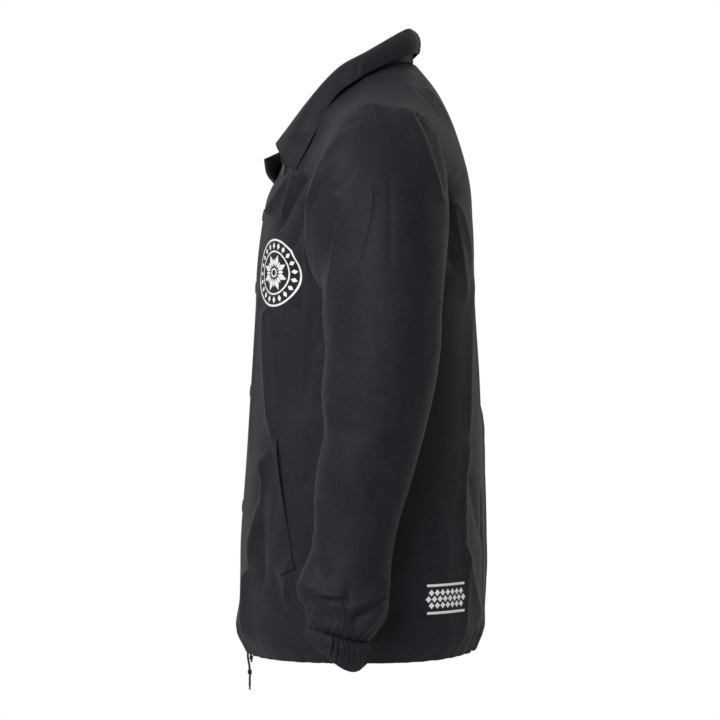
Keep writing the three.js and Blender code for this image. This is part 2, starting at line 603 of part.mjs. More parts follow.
snapPlaces.forEach(({ point, normal }, k) => {
  const profile = [
    [0, 0], [SNAP_RADIUS, 0], [SNAP_RADIUS, 0.4 * SNAP_HEIGHT],
    [0.75 * SNAP_RADIUS, 0.85 * SNAP_HEIGHT], [0, SNAP_HEIGHT],
  ].map(([radius, height]) => new THREE.Vector2(radius, height));
  const cap = addPiece(`snap_${k + 1}`, new THREE.LatheGeometry(profile, 16), SNAP_PAINT);
  cap.position.copy(point);
  cap.quaternion.setFromUnitVectors(new THREE.Vector3(0, 1, 0), normal);
});

// Hem cord: a plain tube down to its knot, and the drawn-up end
function underHem(across, drop) {
  const hem = fronts.left.grid[0];
  const i = hem.findIndex((point) => point.x > across);
  const share = (across - hem[i - 1].x) / (hem[i].x - hem[i - 1].x);
  return hem[i - 1].clone().lerp(hem[i], share).add(vector(drop));
}

function cordTube() {
  const outline = new THREE.Shape().absarc(0, 0, CORD_RADIUS, 0, 2 * Math.PI);
  const path = new THREE.CatmullRomCurve3(CORD_DROP.map((drop) => underHem(CORD_ACROSS, drop)));
  const tube = new THREE.ExtrudeGeometry(outline, { steps: 6, curveSegments: 8, extrudePath: path });
  tube.deleteAttribute("normal");
  tube.deleteAttribute("uv");
  return mergeVertices(tube, 1e-3);
}

function knot(name, rows, at) {
  const profile = rows.map(({ radius, height }) => new THREE.Vector2(radius, height)).reverse();
  const piece = addPiece(name, new THREE.LatheGeometry(profile, 10), CORD_YARN);
  piece.rotation.x = Math.PI / 2;
  piece.position.copy(at);
}

addPiece("drawcord", cordTube(), CORD_YARN);
knot("drawcord_knot", KNOT_PROFILE, underHem(CORD_ACROSS, KNOT_DROP));
knot("drawcord_stub", STUB_PROFILE, underHem(STUB_ACROSS, STUB_DROP));

export default jacket;
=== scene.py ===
"""A light woven-nylon coach jacket, filled out as worn: fine cloth surfaces, seams, gathers and finishes.

Lengths in the tables are millimetres in the jacket's own frame: +Z up, the front faces -Y, the wearer's
left is +X. Meshes are made in metres.
"""

from collections import namedtuple
from functools import lru_cache

import bpy
import numpy as np
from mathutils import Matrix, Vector


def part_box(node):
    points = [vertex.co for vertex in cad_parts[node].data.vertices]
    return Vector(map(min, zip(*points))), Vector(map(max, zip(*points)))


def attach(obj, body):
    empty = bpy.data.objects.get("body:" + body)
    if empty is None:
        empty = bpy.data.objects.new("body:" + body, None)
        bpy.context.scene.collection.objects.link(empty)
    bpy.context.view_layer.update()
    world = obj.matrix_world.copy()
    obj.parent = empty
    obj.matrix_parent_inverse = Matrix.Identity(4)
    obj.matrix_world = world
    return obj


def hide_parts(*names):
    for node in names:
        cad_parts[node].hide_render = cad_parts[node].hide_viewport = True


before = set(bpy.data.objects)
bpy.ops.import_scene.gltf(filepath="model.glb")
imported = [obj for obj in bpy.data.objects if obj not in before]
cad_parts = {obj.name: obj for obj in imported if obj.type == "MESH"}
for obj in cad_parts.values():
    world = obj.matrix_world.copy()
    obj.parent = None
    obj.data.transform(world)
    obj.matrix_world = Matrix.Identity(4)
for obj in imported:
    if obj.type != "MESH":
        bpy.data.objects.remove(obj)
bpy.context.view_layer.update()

bl_info = {
    "name": "Coach jacket",
    "version": (1, 0, 0),
    "blender": (4, 5, 0),
    "location": "View3D > Sidebar > Jacket",
    "description": "Builds the cloth, trims and finishes of a nylon coach jacket",
    "category": "Add Mesh",
}

MM = 0.001
BODY = "root"
SIDES = ("left", "right")
SEEN_AXIS = {"side": 1, "front": 0}

Section = namedtuple("Section", "level inner lead trail outer")
Ring = namedtuple("Ring", "level inner outer front back tilt")
CuffRing = namedtuple("CuffRing", "level inner outer front back height tilt")
Station = namedtuple("Station", "level fold belly edge")
Stop = namedtuple("Stop", "level place")
Fold = namedtuple("Fold", "start via end width rise_start rise_end")
Patch = namedtuple("Patch", "points uv closed flipped")
Lamp = namedtuple("Lamp", "name place power size")

# Clearances and walls that the CAD part has too
LAP_CLEARANCE = 1.6
SEAM_GAP = 0.3
SLEEVE_SEAT = 0.85
CAD_WALL = 1.6

# Levels of the panels' tables where an outline has a corner
UNDERARM = 0.56
NECK = 0.9
CORNER = 0.875

# Heights, widths and girths of details
HEM_LEVEL = -728
CASING_HEIGHT = 24
BACK_CASING_RISE = 3
PLACKET_WIDTH = 34
EDGE_STITCH = 6
SAG_LEVEL = -598
SLEEVE_END_GIRTH = 215
WELT_WIDTH = 28
WELT_LENGTH = 165
PRINT_LIFT = 0.62
SNAP_SEAT = 1.5

# Shares: how far the head blends into a sleeve's rings, and how far a welt's stitching lies from its ends
SLEEVE_HEAD = 0.12
WELT_INSET = 0.02

# Counts and phases of gathers, grid columns and rows, and the steps and reach of a crease in its widths
CUFF_GATHERS = 26
CUFF_PHASES = {"left": 0.3, "right": 1.9}
BACK_COLUMNS = 96
MIDDLE_COLUMN = 40
ROLL_ROWS = 17
CREASE_STEPS = 12
CREASE_REACH = 4.2

# Sections of a front from its inner edge to the side seam or armhole
FRONT_SECTIONS = [
    Section(0, (-18, -141, -732), (150, -4, 1), (0, -92, -1), (221, 8, -727)),
    Section(0.045, (-18, -154, -703), (156, -4, 0), (0, -98, 0), (232, 8, -702)),
    Section(0.1, (-18, -150, -662), (154, -4, 0), (0, -96, 0), (231, 8, -661)),
    Section(0.2, (-18, -149, -590), (152, -4, 0), (0, -95, 0), (229, 9, -590)),
    Section(0.32, (-18, -142, -492), (150, -4, 0), (0, -92, 0), (225, 12, -492)),
    Section(0.44, (-18, -136, -396), (146, -4, 0), (0, -90, 0), (219, 18, -398)),
    Section(0.56, (-18, -130.5, -300), (142, -4, 0), (0, -84, 2), (213, 24, -303)),
    Section(0.64, (-18, -128.5, -248), (132, -4, 0), (-20, -62, 4), (205, -14, -270)),
    Section(0.72, (-18, -124, -204), (118, -1, 0), (-38, -48, 4), (202, -40, -222)),
    Section(0.8, (-18, -117, -162), (80, -1, -4), (-56, -36, -4), (204, -51, -165)),
    Section(0.825, (5, -111, -147), (65, 6, -4), (-58, -28, -4), (206, -50.5, -146)),
    Section(0.85, (30, -102, -132), (48, 12, -4), (-60, -19, -4), (209, -49, -128)),
    Section(0.875, (48, -97, -121), (36, 17, -1), (-66, -11, -4), (214, -45, -108)),
    Section(0.9, (58, -102, -96), (26, 34, -6), (-74, -5, 0), (221, -38, -92)),
    Section(0.95, (79, -52, -47), (36, 6, -18), (-68, -8, 8), (234, -17, -73)),
    Section(1, (82, 6, -8), (44, 1, -22), (-60, 0, 14), (245, 9, -61)),
]

# The right front's open top corner stands further forward
RIGHT_CORNER = {
    0.8: dict(inner=(-18, -113.5, -162), lead=(80, -1, -4)),
    0.825: dict(inner=(1, -106.5, -147), lead=(69, 2, -4)),
    0.85: dict(inner=(22, -119, -127), lead=(56, 29, -9)),
    0.875: dict(inner=(40, -123, -107), lead=(44, 43, -15)),
}

# Sections of half the back, from the centre back or the neck seam outwards
BACK_SECTIONS = [
    Section(0, (0, 147, -724), (142, 0, 0), (0, 92, -1), (221, 8, -727)),
    Section(0.045, (0, 157, -698), (148, 0, 0), (0, 100, 0), (232, 8, -702)),
    Section(0.1, (0, 157, -660), (146, 0, 0), (0, 98, 0), (231, 8, -661)),
    Section(0.2, (0, 157, -590), (146, 0, 0), (0, 97, 0), (229, 9, -590)),
    Section(0.32, (0, 154.5, -492), (143, 0, 0), (0, 94, 0), (225, 12, -492)),
    Section(0.44, (0, 151.5, -396), (140, 0, 0), (0, 90, 0), (219, 18, -398)),
    Section(0.56, (0, 145.5, -300), (135, 0, 0), (0, 82, 2), (213, 24, -303)),
    Section(0.64, (0, 144, -248), (125, 0, 0), (-12, 50, 4), (205, 74, -268)),
    Section(0.72, (0, 142, -192), (115, 0, 0), (-40, 32, 6), (204, 97, -220)),
    Section(0.8, (0, 133, -124), (108, 4, -2), (-52, 26, 10), (206, 103, -168)),
    Section(0.867, (0, 98, -30), (94, 12, -12), (-60, 16, 16), (218, 98, -112)),
    Section(0.9, (0, 67, 11), (84, 14, -14), (-62, 10, 18), (227, 90, -90)),
    Section(0.95, (58, 46, 5), (50, 6, -18), (-62, 4, 18), (239, 62, -68)),
    Section(1, (82, 6, -8), (44, 1, -22), (-60, 0, 14), (245, 9, -61)),
]

# Rings of a sleeve from armhole to cuff: inmost and outmost point (x, z), front and back (y)
SLEEVE_RINGS = [
    Ring(0, (213, -303), (245, -61), -50, 103, 0),
    Ring(0.04, (219, -307), (266, -67), -54, 106, 0),
    Ring(0.1, (219.5, -312), (296, -98), -66, 105, 0),
    Ring(0.17, (220, -320), (319, -146), -57, 102, 0),
    Ring(0.25, (220.5, -332), (334, -206), -43.5, 99, 0),
    Ring(0.33, (221.5, -349), (342, -268), -44, 96, 0),
    Ring(0.41, (223.5, -376), (346, -334), -41, 94, 0),
    Ring(0.5, (226, -412), (347, -398), -45, 86, 0),
    Ring(0.58, (231, -450), (346, -446), -42, 76, 0),
    Ring(0.65, (237, -486), (344, -484), -49, 66, 0),
    Ring(0.72, (243, -520), (341, -519), -53, 56, 0),
    Ring(0.79, (247, -553), (339, -552), -53, 46, 0),
    Ring(0.86, (250, -589.5), (339, -589.5), -58, 38, 2),
    Ring(0.92, (252, -621), (341, -621), -70, 35, 7),
    Ring(0.955, (254, -641.5), (342, -641.5), -73, 34, 11),
    Ring(0.98, (257, -663), (339, -663), -64, 30, 15),
    Ring(1, (263, -684), (333, -684), -61, 10, 18),
]

# Rings of a cuff; here and above, tilt is how much higher a ring's front lies than its back
CUFF_RINGS = [
    CuffRing(0, 263, 333, -61, 10, -684.4, 18),
    CuffRing(0.5, 265, 332, -58.5, 7, -699.5, 22),
    CuffRing(1, 269, 330, -53, 2, -714.5, 25),
]

# Stations of half the collar, from the centre back to its front end
COLLAR_STATIONS = [
    Station(0, (0, 66, 55), (0, 8, 4), (0, 75, 25)),
    Station(0.21, (38, 55, 51), (7, 7, 4), (54, 60, 17)),
    Station(0.43, (66, 8, 20), (12, 0, 10), (103, 8, -11)),
    Station(0.58, (68, -26, 0), (12, -5, 10), (111, -26, -33)),
    Station(0.79, (64, -66, -44), (10, -12, 8), (122, -52, -73)),
    Station(1, (56, -105, -93), (7, -10, 6), (131, -79.5, -134)),
]

# Creases, listed as rows of a Fold, in (y, z) where they are seen from the side and in (x, z) from
# the front. The rises are towards the outside, and below zero for a hollow.
LEFT_SLEEVE_FOLDS = {"side": [
    ((58, -70), (78, -116), (98, -182), 6, 7, 6),
    ((67, -72), (84, -106), (101, -172), 5.5, -12, -10),
    ((78, -76), (93, -108), (103, -160), 4.5, 9, 8),
    ((50, -80), (60, -104), (72, -140), 3, 2, 0.6),
    ((72, -74), (80, -92), (88, -118), 2.6, 2, 1),
    ((-23, -91), (-9, -84), (1, -77), 3.5, -2.5, -1),
    ((-41, -127), (-22, -106), (-2, -99), 2.4, -1.8, -1),
    ((-32, -167), (-15, -155), (-4, -134), 2.2, -2.2, -1.2),
    ((-48, -140), (-34, -122), (-18, -112), 2.4, -1.6, -0.8),
    ((-60, -189), (-44, -157), (-26, -126), 5, -2, -1.4),
    ((-69, -193), (-53, -154), (-47, -129), 5, 3, 2),
    ((-27, -178), (-30, -207), (-39, -244), 4, -2.5, -1),
    ((-24, -169), (-29, -224), (-41, -294), 3, 1.5, 1),
    ((14, -160), (7, -218), (-18, -300), 3, 0.9, 1.1),
    ((-18, -300), (-28, -327), (-41, -355), 3, 1.1, 0.6),
    ((34, -150), (36, -201), (35, -264), 5, -0.6, -0.4),
    ((-39, -411), (-36, -429), (-37, -451), 5, 2.5, 1.5),
    ((-50, -526), (-51, -546), (-46, -565), 5, 2.5, 1.5),
    ((-61, -578), (-47, -600), (-30, -617), 5, -4, -2),
    ((-69, -625), (-60, -630), (-48, -630), 3.5, -3, -1.5),
    ((-72, -630), (-44, -640), (-10, -643), 4.5, -9, -5),
    ((-72, -622), (-44, -631), (-14, -633), 7, 8, 4),
    ((-62, -664), (-42, -672), (-16, -684), 6, 7, 4),
    ((-60, -674), (-42, -681), (-16, -692), 4, -7, -5),
    ((36, -633), (14, -654), (-13, -669), 6, -8, -5),
    ((34, -618), (12, -638), (-18, -652), 7, 7, 3),
    ((33, -658), (21, -679), (5, -693), 5, -5, -4),
    ((29, -645), (14, -666), (-9, -685), 5, 3, 3),
    ((-63, -658), (-60, -671), (-56, -683), 3.5, -6, -5),
    ((47, -446), (30, -493), (14, -530), 12, -2.5, -1.5),
    ((-18, -446), (-21, -493), (-16, -542), 12, 2, 1.5),
    ((93, -294), (76, -329), (51, -353), 9, -3, -1),
    ((90, -348), (70, -372), (44, -383), 8, -2.5, -1),
    ((-44, -346), (-29, -361), (-11, -368), 7, -3, -1),
]}
RIGHT_SLEEVE_FOLDS = {"side": [
    ((46, -74), (64, -124), (90, -190), 7, 5, 4),
    ((60, -92), (78, -138), (94, -186), 5, -6, -3),
    ((-30, -98), (-14, -88), (0, -79), 3.5, -2.5, -1),
    ((-46, -140), (-28, -112), (-6, -102), 4, -3, -1),
    ((-58, -196), (-40, -162), (-20, -132), 7, -4, -2.5),
    ((-22, -184), (-30, -216), (-36, -258), 5, -5, -1),
    ((18, -158), (8, -226), (-14, -310), 6, 3, 3),
    ((36, -176), (40, -206), (38, -246), 8, -2, -1),
    ((90, -288), (70, -322), (46, -340), 9, -3, -1),
    ((88, -352), (64, -380), (36, -392), 8, -3, -1),
    ((-42, -352), (-24, -370), (-4, -374), 7, -3, -1),
    ((-40, -430), (-34, -462), (-38, -490), 6, 2.5, 1.5),
    ((44, -450), (28, -500), (10, -536), 12, -2.5, -1.5),
    ((-58, -572), (-40, -590), (-22, -604), 5, -4, -2),
    ((-70, -622), (-44, -634), (-12, -632), 4, -3.5, -2),
    ((-70, -616), (-42, -626), (-14, -622), 4, 3, 1),
    ((36, -624), (12, -648), (-16, -660), 6, -5, -3),
    ((34, -610), (10, -632), (-20, -644), 6, 4, 2),
    ((31, -652), (18, -672), (0, -690), 5, -5, -4),
    ((-64, -654), (-58, -668), (-52, -682), 3.5, -5, -4),
]}
# Creases of the side of a sleeve that faces the body
INNER_SLEEVE_FOLDS = {"side": [
    ((-30, -330), (10, -352), (60, -346), 8, -3, -2),
    ((-26, -380), (10, -400), (56, -392), 8, -2.5, -2),
    ((-40, -560), (-20, -590), (16, -600), 7, -3, -2),
    ((-60, -630), (-24, -648), (20, -640), 6, -3, -2),
    ((-50, -651), (-20, -674), (14, -668), 5, 3, 2),
]}
LEFT_FRONT_FOLDS = {"side": [
    ((-114, -296), (-112, -377), (-105, -464), 6, 2.5, 2.5),
    ((-52, -100), (-73, -137), (-98, -190), 2.6, 3.5, 2.5),
    ((-74, -134), (-94, -160), (-113, -186), 5, 8, 7),
    ((-66, -140), (-82, -168), (-102, -206), 4, -6, -4),
    ((-114, -479), (-125, -538), (-138, -625), 5, 3, 2.5),
    ((-138, -625), (-140, -662), (-139, -712), 5, 3, 3),
    ((-122, -501), (-125, -569), (-120, -650), 8, -3, -2),
    ((-74, -241), (-79, -340), (-87, -439), 14, -2.5, -2.5),
    ((-104, -479), (-112, -475), (-122, -482), 3, -0.6, -0.3),
    ((-87, -667), (-99, -650), (-109, -612), 10, -2.5, -1.5),
    ((-62, -168), (-72, -204), (-86, -236), 4, -2.2, -1),
    ((-58, -196), (-64, -232), (-62, -268), 5, 2, 1),
    ((-54, -300), (-66, -360), (-62, -430), 8, -2, -1.2),
    ((-113, -300), (-108, -352), (-103, -458), 2.4, 1.2, 1.2),
    ((-111, -476), (-119, -522), (-134, -606), 2.4, 1.6, 1.3),
    ((-96, -514), (-104, -560), (-112, -590), 5, -0.5, -0.3),
    ((-78, -598), (-90, -634), (-88, -680), 6, 2, 1.2),
], "front": [
    ((196, -320), (182, -400), (186, -470), 10, -3, -2),
    ((60, -260), (52, -380), (60, -500), 16, 0.7, 0.7),
]}
RIGHT_FRONT_FOLDS = {"front": [
    ((158, -140), (118, -186), (66, -240), 8, 4, 2),
    ((140, -150), (100, -204), (56, -268), 6, -3, -2),
    ((120, -290), (104, -380), (112, -470), 10, 2.5, 2.5),
    ((190, -330), (176, -410), (182, -480), 10, -3, -2),
    ((90, -480), (70, -560), (62, -640), 9, 3, 2.5),
    ((62, -640), (54, -680), (56, -712), 8, 3, 3),
    ((112, -510), (98, -590), (104, -660), 10, -3, -2),
    ((170, -600), (160, -650), (164, -700), 9, 2.5, 2.5),
    ((56, -270), (48, -390), (54, -510), 16, 2, 2),
]}
BACK_SIDE_FOLDS = {"side": [
    ((67, -33), (85, -53), (99, -73), 4, -3, -2),
    ((79, -29), (98, -52), (111, -80), 4, 2.5, 2),
    ((54, -23), (73, -45), (89, -67), 5, 2.5, 1.5),
    ((104, -169), (118, -152), (129, -135), 4, -3, -2),
    ((100, -140), (109, -190), (113, -262), 13, -9, -6),
    ((112, -176), (124, -226), (128, -300), 5, 5, 3),
    ((105, -218), (117, -206), (123, -233), 4, -2.5, -1.5),
    ((139, -255), (134, -364), (132, -462), 5, 4, 4),
    ((132, -462), (126, -535), (127, -596), 5, 5, 5),
    ((127, -596), (139, -645), (149, -688), 5, 5, 3),
    ((128, -590), (129, -640), (126, -706), 5, 4, 3),
    ((132, -499), (142, -547), (151, -596), 6, -3, -2),
]}
BACK_FACE_FOLDS = {"front": [
    ((-190, -170), (-140, -190), (-96, -250), 9, 3, 2),
    ((188, -175), (146, -196), (104, -262), 9, 3, 2),
    ((-40, -210), (-60, -320), (-48, -430), 14, -3, -2),
    ((44, -230), (58, -340), (40, -450), 14, -3, -2),
    ((-6, -420), (-22, -540), (-10, -690), 13, 3, 3),
    ((70, -520), (60, -610), (74, -700), 10, -3, -2),
    ((-84, -500), (-70, -600), (-82, -700), 10, -3, -2),
    ((-30, -10), (-70, -50), (-120, -84), 8, 2.5, 1.5),
    ((34, -12), (76, -56), (128, -90), 8, -2.5, -1.5),
]}
COLLAR_FOLDS = {"side": [
    ((-2, 8), (-3, -2), (-2, -14), 2.2, -1.6, -1),
    ((2, 6), (1, -4), (3, -12), 2.5, 1.1, 0.6),
    ((-52, -62), (-44, -58), (-30, -52), 5, 1.6, 0.8),
    ((-84, -92), (-74, -84), (-58, -78), 5, -1.8, -0.8),
    ((-96, -102), (-84, -104), (-72, -96), 4, 1.4, 0.8),
    ((28, 34), (34, 26), (38, 14), 4, -1.4, -0.8),
    ((50, 50), (54, 40), (52, 30), 3, 1.2, 0.8),
]}

# Ends of a welt's open and sewn sides, top first: share across the front, and level
WELT_OPEN = ((0.49, 0.36), (0.66, 0.165))
WELT_SEWN = ((0.405, 0.355), (0.572, 0.15))

# The hem cord's route: where it leaves the left front's hem, and its way down through the knot to its tip
CORD_EXIT = (13.0, -142.1, -732.9)
CORD_ROUTE = [
    (0, 0, 0), (0.15, 0.02, -1.5), (0.3, 0.1, -3.2), (0.5, 0.2, -5.2), (0.6, 0.3, -7.5), (0.6, 0.55, -9.8),
    (0.5, 0.9, -12), (0.4, 1.4, -14.5), (0.25, 1.8, -17), (0.1, 2.2, -19.5), (0, 2.4, -22), (0, 2.6, -25),
    (0, 2.7, -28), (0.1, 2.8, -31), (0.2, 2.7, -34), (0.2, 2.6, -37.5), (0.1, 2.6, -41), (0, 2.6, -44.5),
]
KNOT_DROP = (0, 2.6, -26.1)
STUB_AT = (64.0, -135.8, -735.6)
STUB_ROUTE = [(0, 0, 2.6), (0.4, -0.2, 1), (0, 0, -1), (-0.5, 0.3, -3.5), (-0.3, 0.5, -6)]

# Centres of the prints: y at the row they lie on, and height
CHEST_PRINT_AT = (-106, -257)
HEM_PRINT_AT = (106, -652)

# A stud's cap as (radius, height), and a stitch's cross-section as shares of its width and height
SNAP_PROFILE = [(0.02, -0.4), (7.0, -0.4), (7.4, 0.1), (7.5, 0.55), (7.3, 1.0), (6.9, 1.2), (6.4, 1.15),
                (5.9, 0.95), (5.4, 1), (4, 1.3), (2, 1.5), (0.02, 1.55)]
STITCH_RING = ((-0.5, 0.1), (0, 0.62), (0.5, 0.1), (0, -0.35))

# The stage, in metres and watts. The camera sees the room at 1; it lights the cloth with less.
FLOOR_LEVEL = -1.45
ROOM_LIGHT = 0.31
ROOM_IN_REFLECTIONS = 0.24
LAMPS = [
    Lamp("key", (1.5, -3.0, 2.0), 61, 1.0),
    Lamp("side", (3.2, -0.9, 0.7), 51, 1.0),
    Lamp("rim", (-1.6, 2.6, 1.7), 5, 1.8),
]


def smooth(t):
    """Smoothstep of t, clamped to 0..1."""
    t = np.clip(t, 0, 1)
    return t * t * (3 - 2 * t)


def unit(vectors):
    """Vectors over their length."""
    return vectors / np.maximum(np.linalg.norm(vectors, axis=-1, keepdims=True), 1e-9)


def column(rows, name, at, corners=()):
    """Cubic through one column of a table: start + t rise + t (1 - t) bend, one-sided slopes at corners."""
    levels = np.array([row.level for row in rows], float)
    values = np.array([np.atleast_1d(getattr(row, name)) for row in rows], float)
    last = len(rows) - 1
    index = np.arange(last + 1)
    sharp = np.isin(levels, corners)

    def slopes(side):
        low = np.where(sharp & (side > 0) & (index < last), index, np.maximum(index - 1, 0))
        high = np.where(sharp & (side < 0) & (index > 0), index, np.minimum(index + 1, last))
        return (values[high] - values[low]) / (levels[high] - levels[low])[:, None]

    at = np.atleast_1d(at)
    low = np.clip(np.searchsorted(levels, at, side="left") - 1, 0, last - 1)
    span = (levels[low + 1] - levels[low])[:, None]
    t = np.clip((at[:, None] - levels[low][:, None]) / span, 0, 1)
    rise = values[low + 1] - values[low]
    bend = (1 - t) * (slopes(1)[low] * span - rise) - t * (slopes(-1)[low + 1] * span - rise)
    return values[low] + t * rise + t * (1 - t) * bend


def sections(rows, corners, levels, shares):
    """Grid of points (levels, shares, 3): a cubic Bezier curve across at each level."""
    inner = column(rows, "inner", levels, corners)
    outer = column(rows, "outer", levels, (UNDERARM,))
    first = inner + column(rows, "lead", levels)
    second = outer + column(rows, "trail", levels)
    t = shares[None, :, None]
    parts = ((1 - t) ** 3, 3 * t * (1 - t) ** 2, 3 * t * t * (1 - t), t ** 3)
    return sum(part * handle[:, None] for part, handle in zip(parts, (inner, first, second, outer)))


def grid_normals(points, closed=False, outward=1):
    """Unit normals of a grid: the cross product of the differences along both of its directions."""
    if closed:
        across = np.roll(points, -1, 1) - np.roll(points, 1, 1)
    else:
        across = np.gradient(points, axis=1)
    return unit(np.cross(across, np.gradient(points, axis=0))) * outward


def crease(plane, fold):
    """Which points one crease reaches, and its rise there.

    A quadratic curve runs through the fold's three places. The rise is a narrow crest that dies out with the
    distance from the curve, eases off at both ends and stays below a share of the fold's width.
    """
    start, via, end = (np.array(place, float) for place in (fold.start, fold.via, fold.end))
    t = np.linspace(0, 1, CREASE_STEPS + 1)[:, None]
    control = 2 * via - (start + end) / 2
    line = (1 - t) ** 2 * start + 2 * t * (1 - t) * control + t ** 2 * end
    width = 1.25 * fold.width
    reach = CREASE_REACH * width
    near = np.all((plane > line.min(0) - reach) & (plane < line.max(0) + reach), axis=-1)
    place = plane[near]
    nearest = np.full(len(place), 1e9)
    along = np.zeros(len(place))
    for k, (tail, run) in enumerate(zip(line[:-1], np.diff(line, axis=0))):
        share = np.clip((place - tail) @ run / (run @ run), 0, 1)
        away = ((place - tail - share[:, None] * run) ** 2).sum(-1)
        along = np.where(away < nearest, (k + share) / CREASE_STEPS, along)
        nearest = np.minimum(nearest, away)
    strength = fold.rise_start + (fold.rise_end - fold.rise_start) * along
    strength = strength * smooth(along / 0.16) ** 0.5 * smooth((1 - along) / 0.24) ** 0.5
    soft = 0.16 * width
    crest = np.exp(-(np.sqrt(nearest + soft ** 2) - soft) / (0.62 * width)) - 0.02
    most = 0.68 * width
    fade = smooth((CREASE_REACH - np.sqrt(nearest) / width) / 2)
    return near, most * np.tanh(1.9 * strength / most) * np.maximum(crest, 0) * fade


def fold_rise(points, tables):
    """Height of all creases together: those placed in (y, z) from the side and in (x, z) from the front."""
    total = np.zeros(points.shape[:-1])
    for view, rows in tables.items():
        plane = points[..., [SEEN_AXIS[view], 2]]
        for row in rows:
            near, rise = crease(plane, Fold(*row))
            total[near] += rise
    return total


def uneven_wave(place, spacing, phase=0.0):
    """Gathers: a wave of about the given spacing whose width and height wander, between -1 and 1."""
    turn = 2 * np.pi * place / spacing
    wander = 0.9 * np.sin(0.31 * turn + phase) + 0.6 * np.sin(0.173 * turn + 2.1 * phase + 1.3)
    height = 0.72 + 0.28 * np.sin(0.237 * turn + 1.7 * phase)
    return height * np.sin(turn + wander)


def arc_length(points, axis):
    """Distance run along one direction of a grid, from its start."""
    steps = np.linalg.norm(np.diff(points, axis=axis), axis=-1)
    pad = [(0, 0), (0, 0)]
    pad[axis] = (1, 0)
    return np.cumsum(np.pad(steps, pad), axis=axis)


def path_run(path):
    """Distance run along a path, from its start."""
    return np.concatenate([[0], np.cumsum(np.linalg.norm(np.diff(path, axis=0), axis=1))])


def interpolated(at, run, values):
    """Rows of values, known at the places of a run, at other places."""
    return np.stack([np.interp(at, run, axis) for axis in np.asarray(values).T], -1)


def spans(marks, counts):
    """Numbers from the first mark to the last; each span between marks is cut into its own count of steps."""
    parts = [np.linspace(low, high, count + 1)[:-1] for low, high, count in zip(marks, marks[1:], counts)]
    return np.concatenate([*parts, marks[-1:]])


def round_angles(count):
    """Evenly spaced angles of a full turn."""
    return 2 * np.pi * np.arange(count) / count


def circles(side, other, angle):
    """Unit circles, one for each pair of axes: side times the cosine plus other times the sine."""
    return np.cos(angle)[None, :, None] * side[:, None] + np.sin(angle)[None, :, None] * other[:, None]


def joined(parts):
    """Several (vertices, faces) pairs as one pair."""
    starts = np.cumsum([0] + [len(vertices) for vertices, _ in parts])
    faces = [faces + start for (_, faces), start in zip(parts, starts)]
    return np.concatenate([vertices for vertices, _ in parts]), np.concatenate(faces)


def turned(points, normals, profile, end):
    """Adds to one side of a grid the points of a turned edge, given as (beyond, inward) steps."""
    if end.endswith("column"):
        row_end = end.replace("column", "row")
        return turned(points.swapaxes(0, 1), normals.swapaxes(0, 1), profile, row_end).swapaxes(0, 1)
    first = end == "first_row"
    edge, face = (points[0], normals[0]) if first else (points[-1], normals[-1])
    beyond = unit(edge - (points[1] if first else points[-2]))
    extra = np.array([edge + step * beyond - depth * face for step, depth in profile])
    return np.concatenate([extra[::-1], points] if first else [points, extra])


def worn(patch, side):
    """The patch on its own side of the wearer: as it is on the left, mirrored on the right."""
    if side == "left":
        return patch
    return Patch(patch.points * (-1, 1, 1), patch.uv * (-1, 1), patch.closed, not patch.flipped)


def dress(node, patches, thickness, material, slot="shell"):
    """The wall of cloth that stands for a node of the CAD part."""
    return keep(cloth_wall(f"{node}_cloth", patches, thickness, material), slot, node)


def edged_patch(points, edges, outward=1, closed=False):
    """Adds turned edges, given as (end, profile), to a grid and gives it cloth coordinates."""
    for end, profile in edges:
        points = turned(points, grid_normals(points, closed, outward), profile, end)
    return Patch(points, grown_uv(points), closed, outward < 0)


def grown_uv(points):
    """Cloth coordinates of a grid in metres: mean run across and run along each column."""
    across = np.broadcast_to(arc_length(points, 1).mean(0)[None], points.shape[:2])
    along = arc_length(points, 0)
    return np.stack([across, along], -1) * MM


def quads_of(shape, closed, flipped):
    """Index quads of a grid of the given shape, wound to face outwards."""
    rows, columns = shape
    index = np.arange(rows * columns).reshape(shape)
    if closed:
        index = np.concatenate([index, index[:, :1]], 1)
    quads = np.stack([index[:-1, :-1], index[:-1, 1:], index[1:, 1:], index[1:, :-1]], -1).reshape(-1, 4)
    return quads[:, ::-1] if flipped else quads


def cloth_wall(name, patches, thickness, material):
    """Closed wall: the welded patches moved half the thickness out and in, and joined at every open edge."""
    points = np.concatenate([patch.points.reshape(-1, 3) for patch in patches])
    uv = np.concatenate([patch.uv.reshape(-1, 2) for patch in patches])
    starts = np.cumsum([0] + [patch.points[..., 0].size for patch in patches])
    quads = np.concatenate([
        quads_of(patch.points.shape[:2], patch.closed, patch.flipped) + start
        for patch, start in zip(patches, starts)])
    _, first, weld = np.unique(np.round(points, 3), axis=0, return_index=True, return_inverse=True)
    weld = weld.reshape(-1)
    corner_uv = uv[quads]
    quads = weld[quads]
    points = points[first]
    face = np.cross(points[quads[:, 2]] - points[quads[:, 0]], points[quads[:, 3]] - points[quads[:, 1]])
    normals = np.zeros_like(points)
    for k in range(4):
        np.add.at(normals, quads[:, k], face)
    normals = unit(normals)
    count = len(points)
    tails = quads.reshape(-1)
    heads = np.roll(quads, -1, 1).reshape(-1)
    rim = ~np.isin(tails * count + heads, heads * count + tails)
    tail, head = tails[rim], heads[rim]
    rims = np.stack([tail, tail + count, head + count, head], -1)
    edge_uv = np.repeat(corner_uv.reshape(-1, 2)[rim][:, None], 4, 1)
    faces = np.concatenate([quads, quads[:, ::-1] + count, rims])
    loops_uv = np.concatenate([corner_uv, corner_uv[:, ::-1], edge_uv]).reshape(-1, 2)
    vertices = np.concatenate([points + normals * thickness / 2, points - normals * thickness / 2]) * MM
    return new_mesh(name, vertices, faces, material, loops_uv)


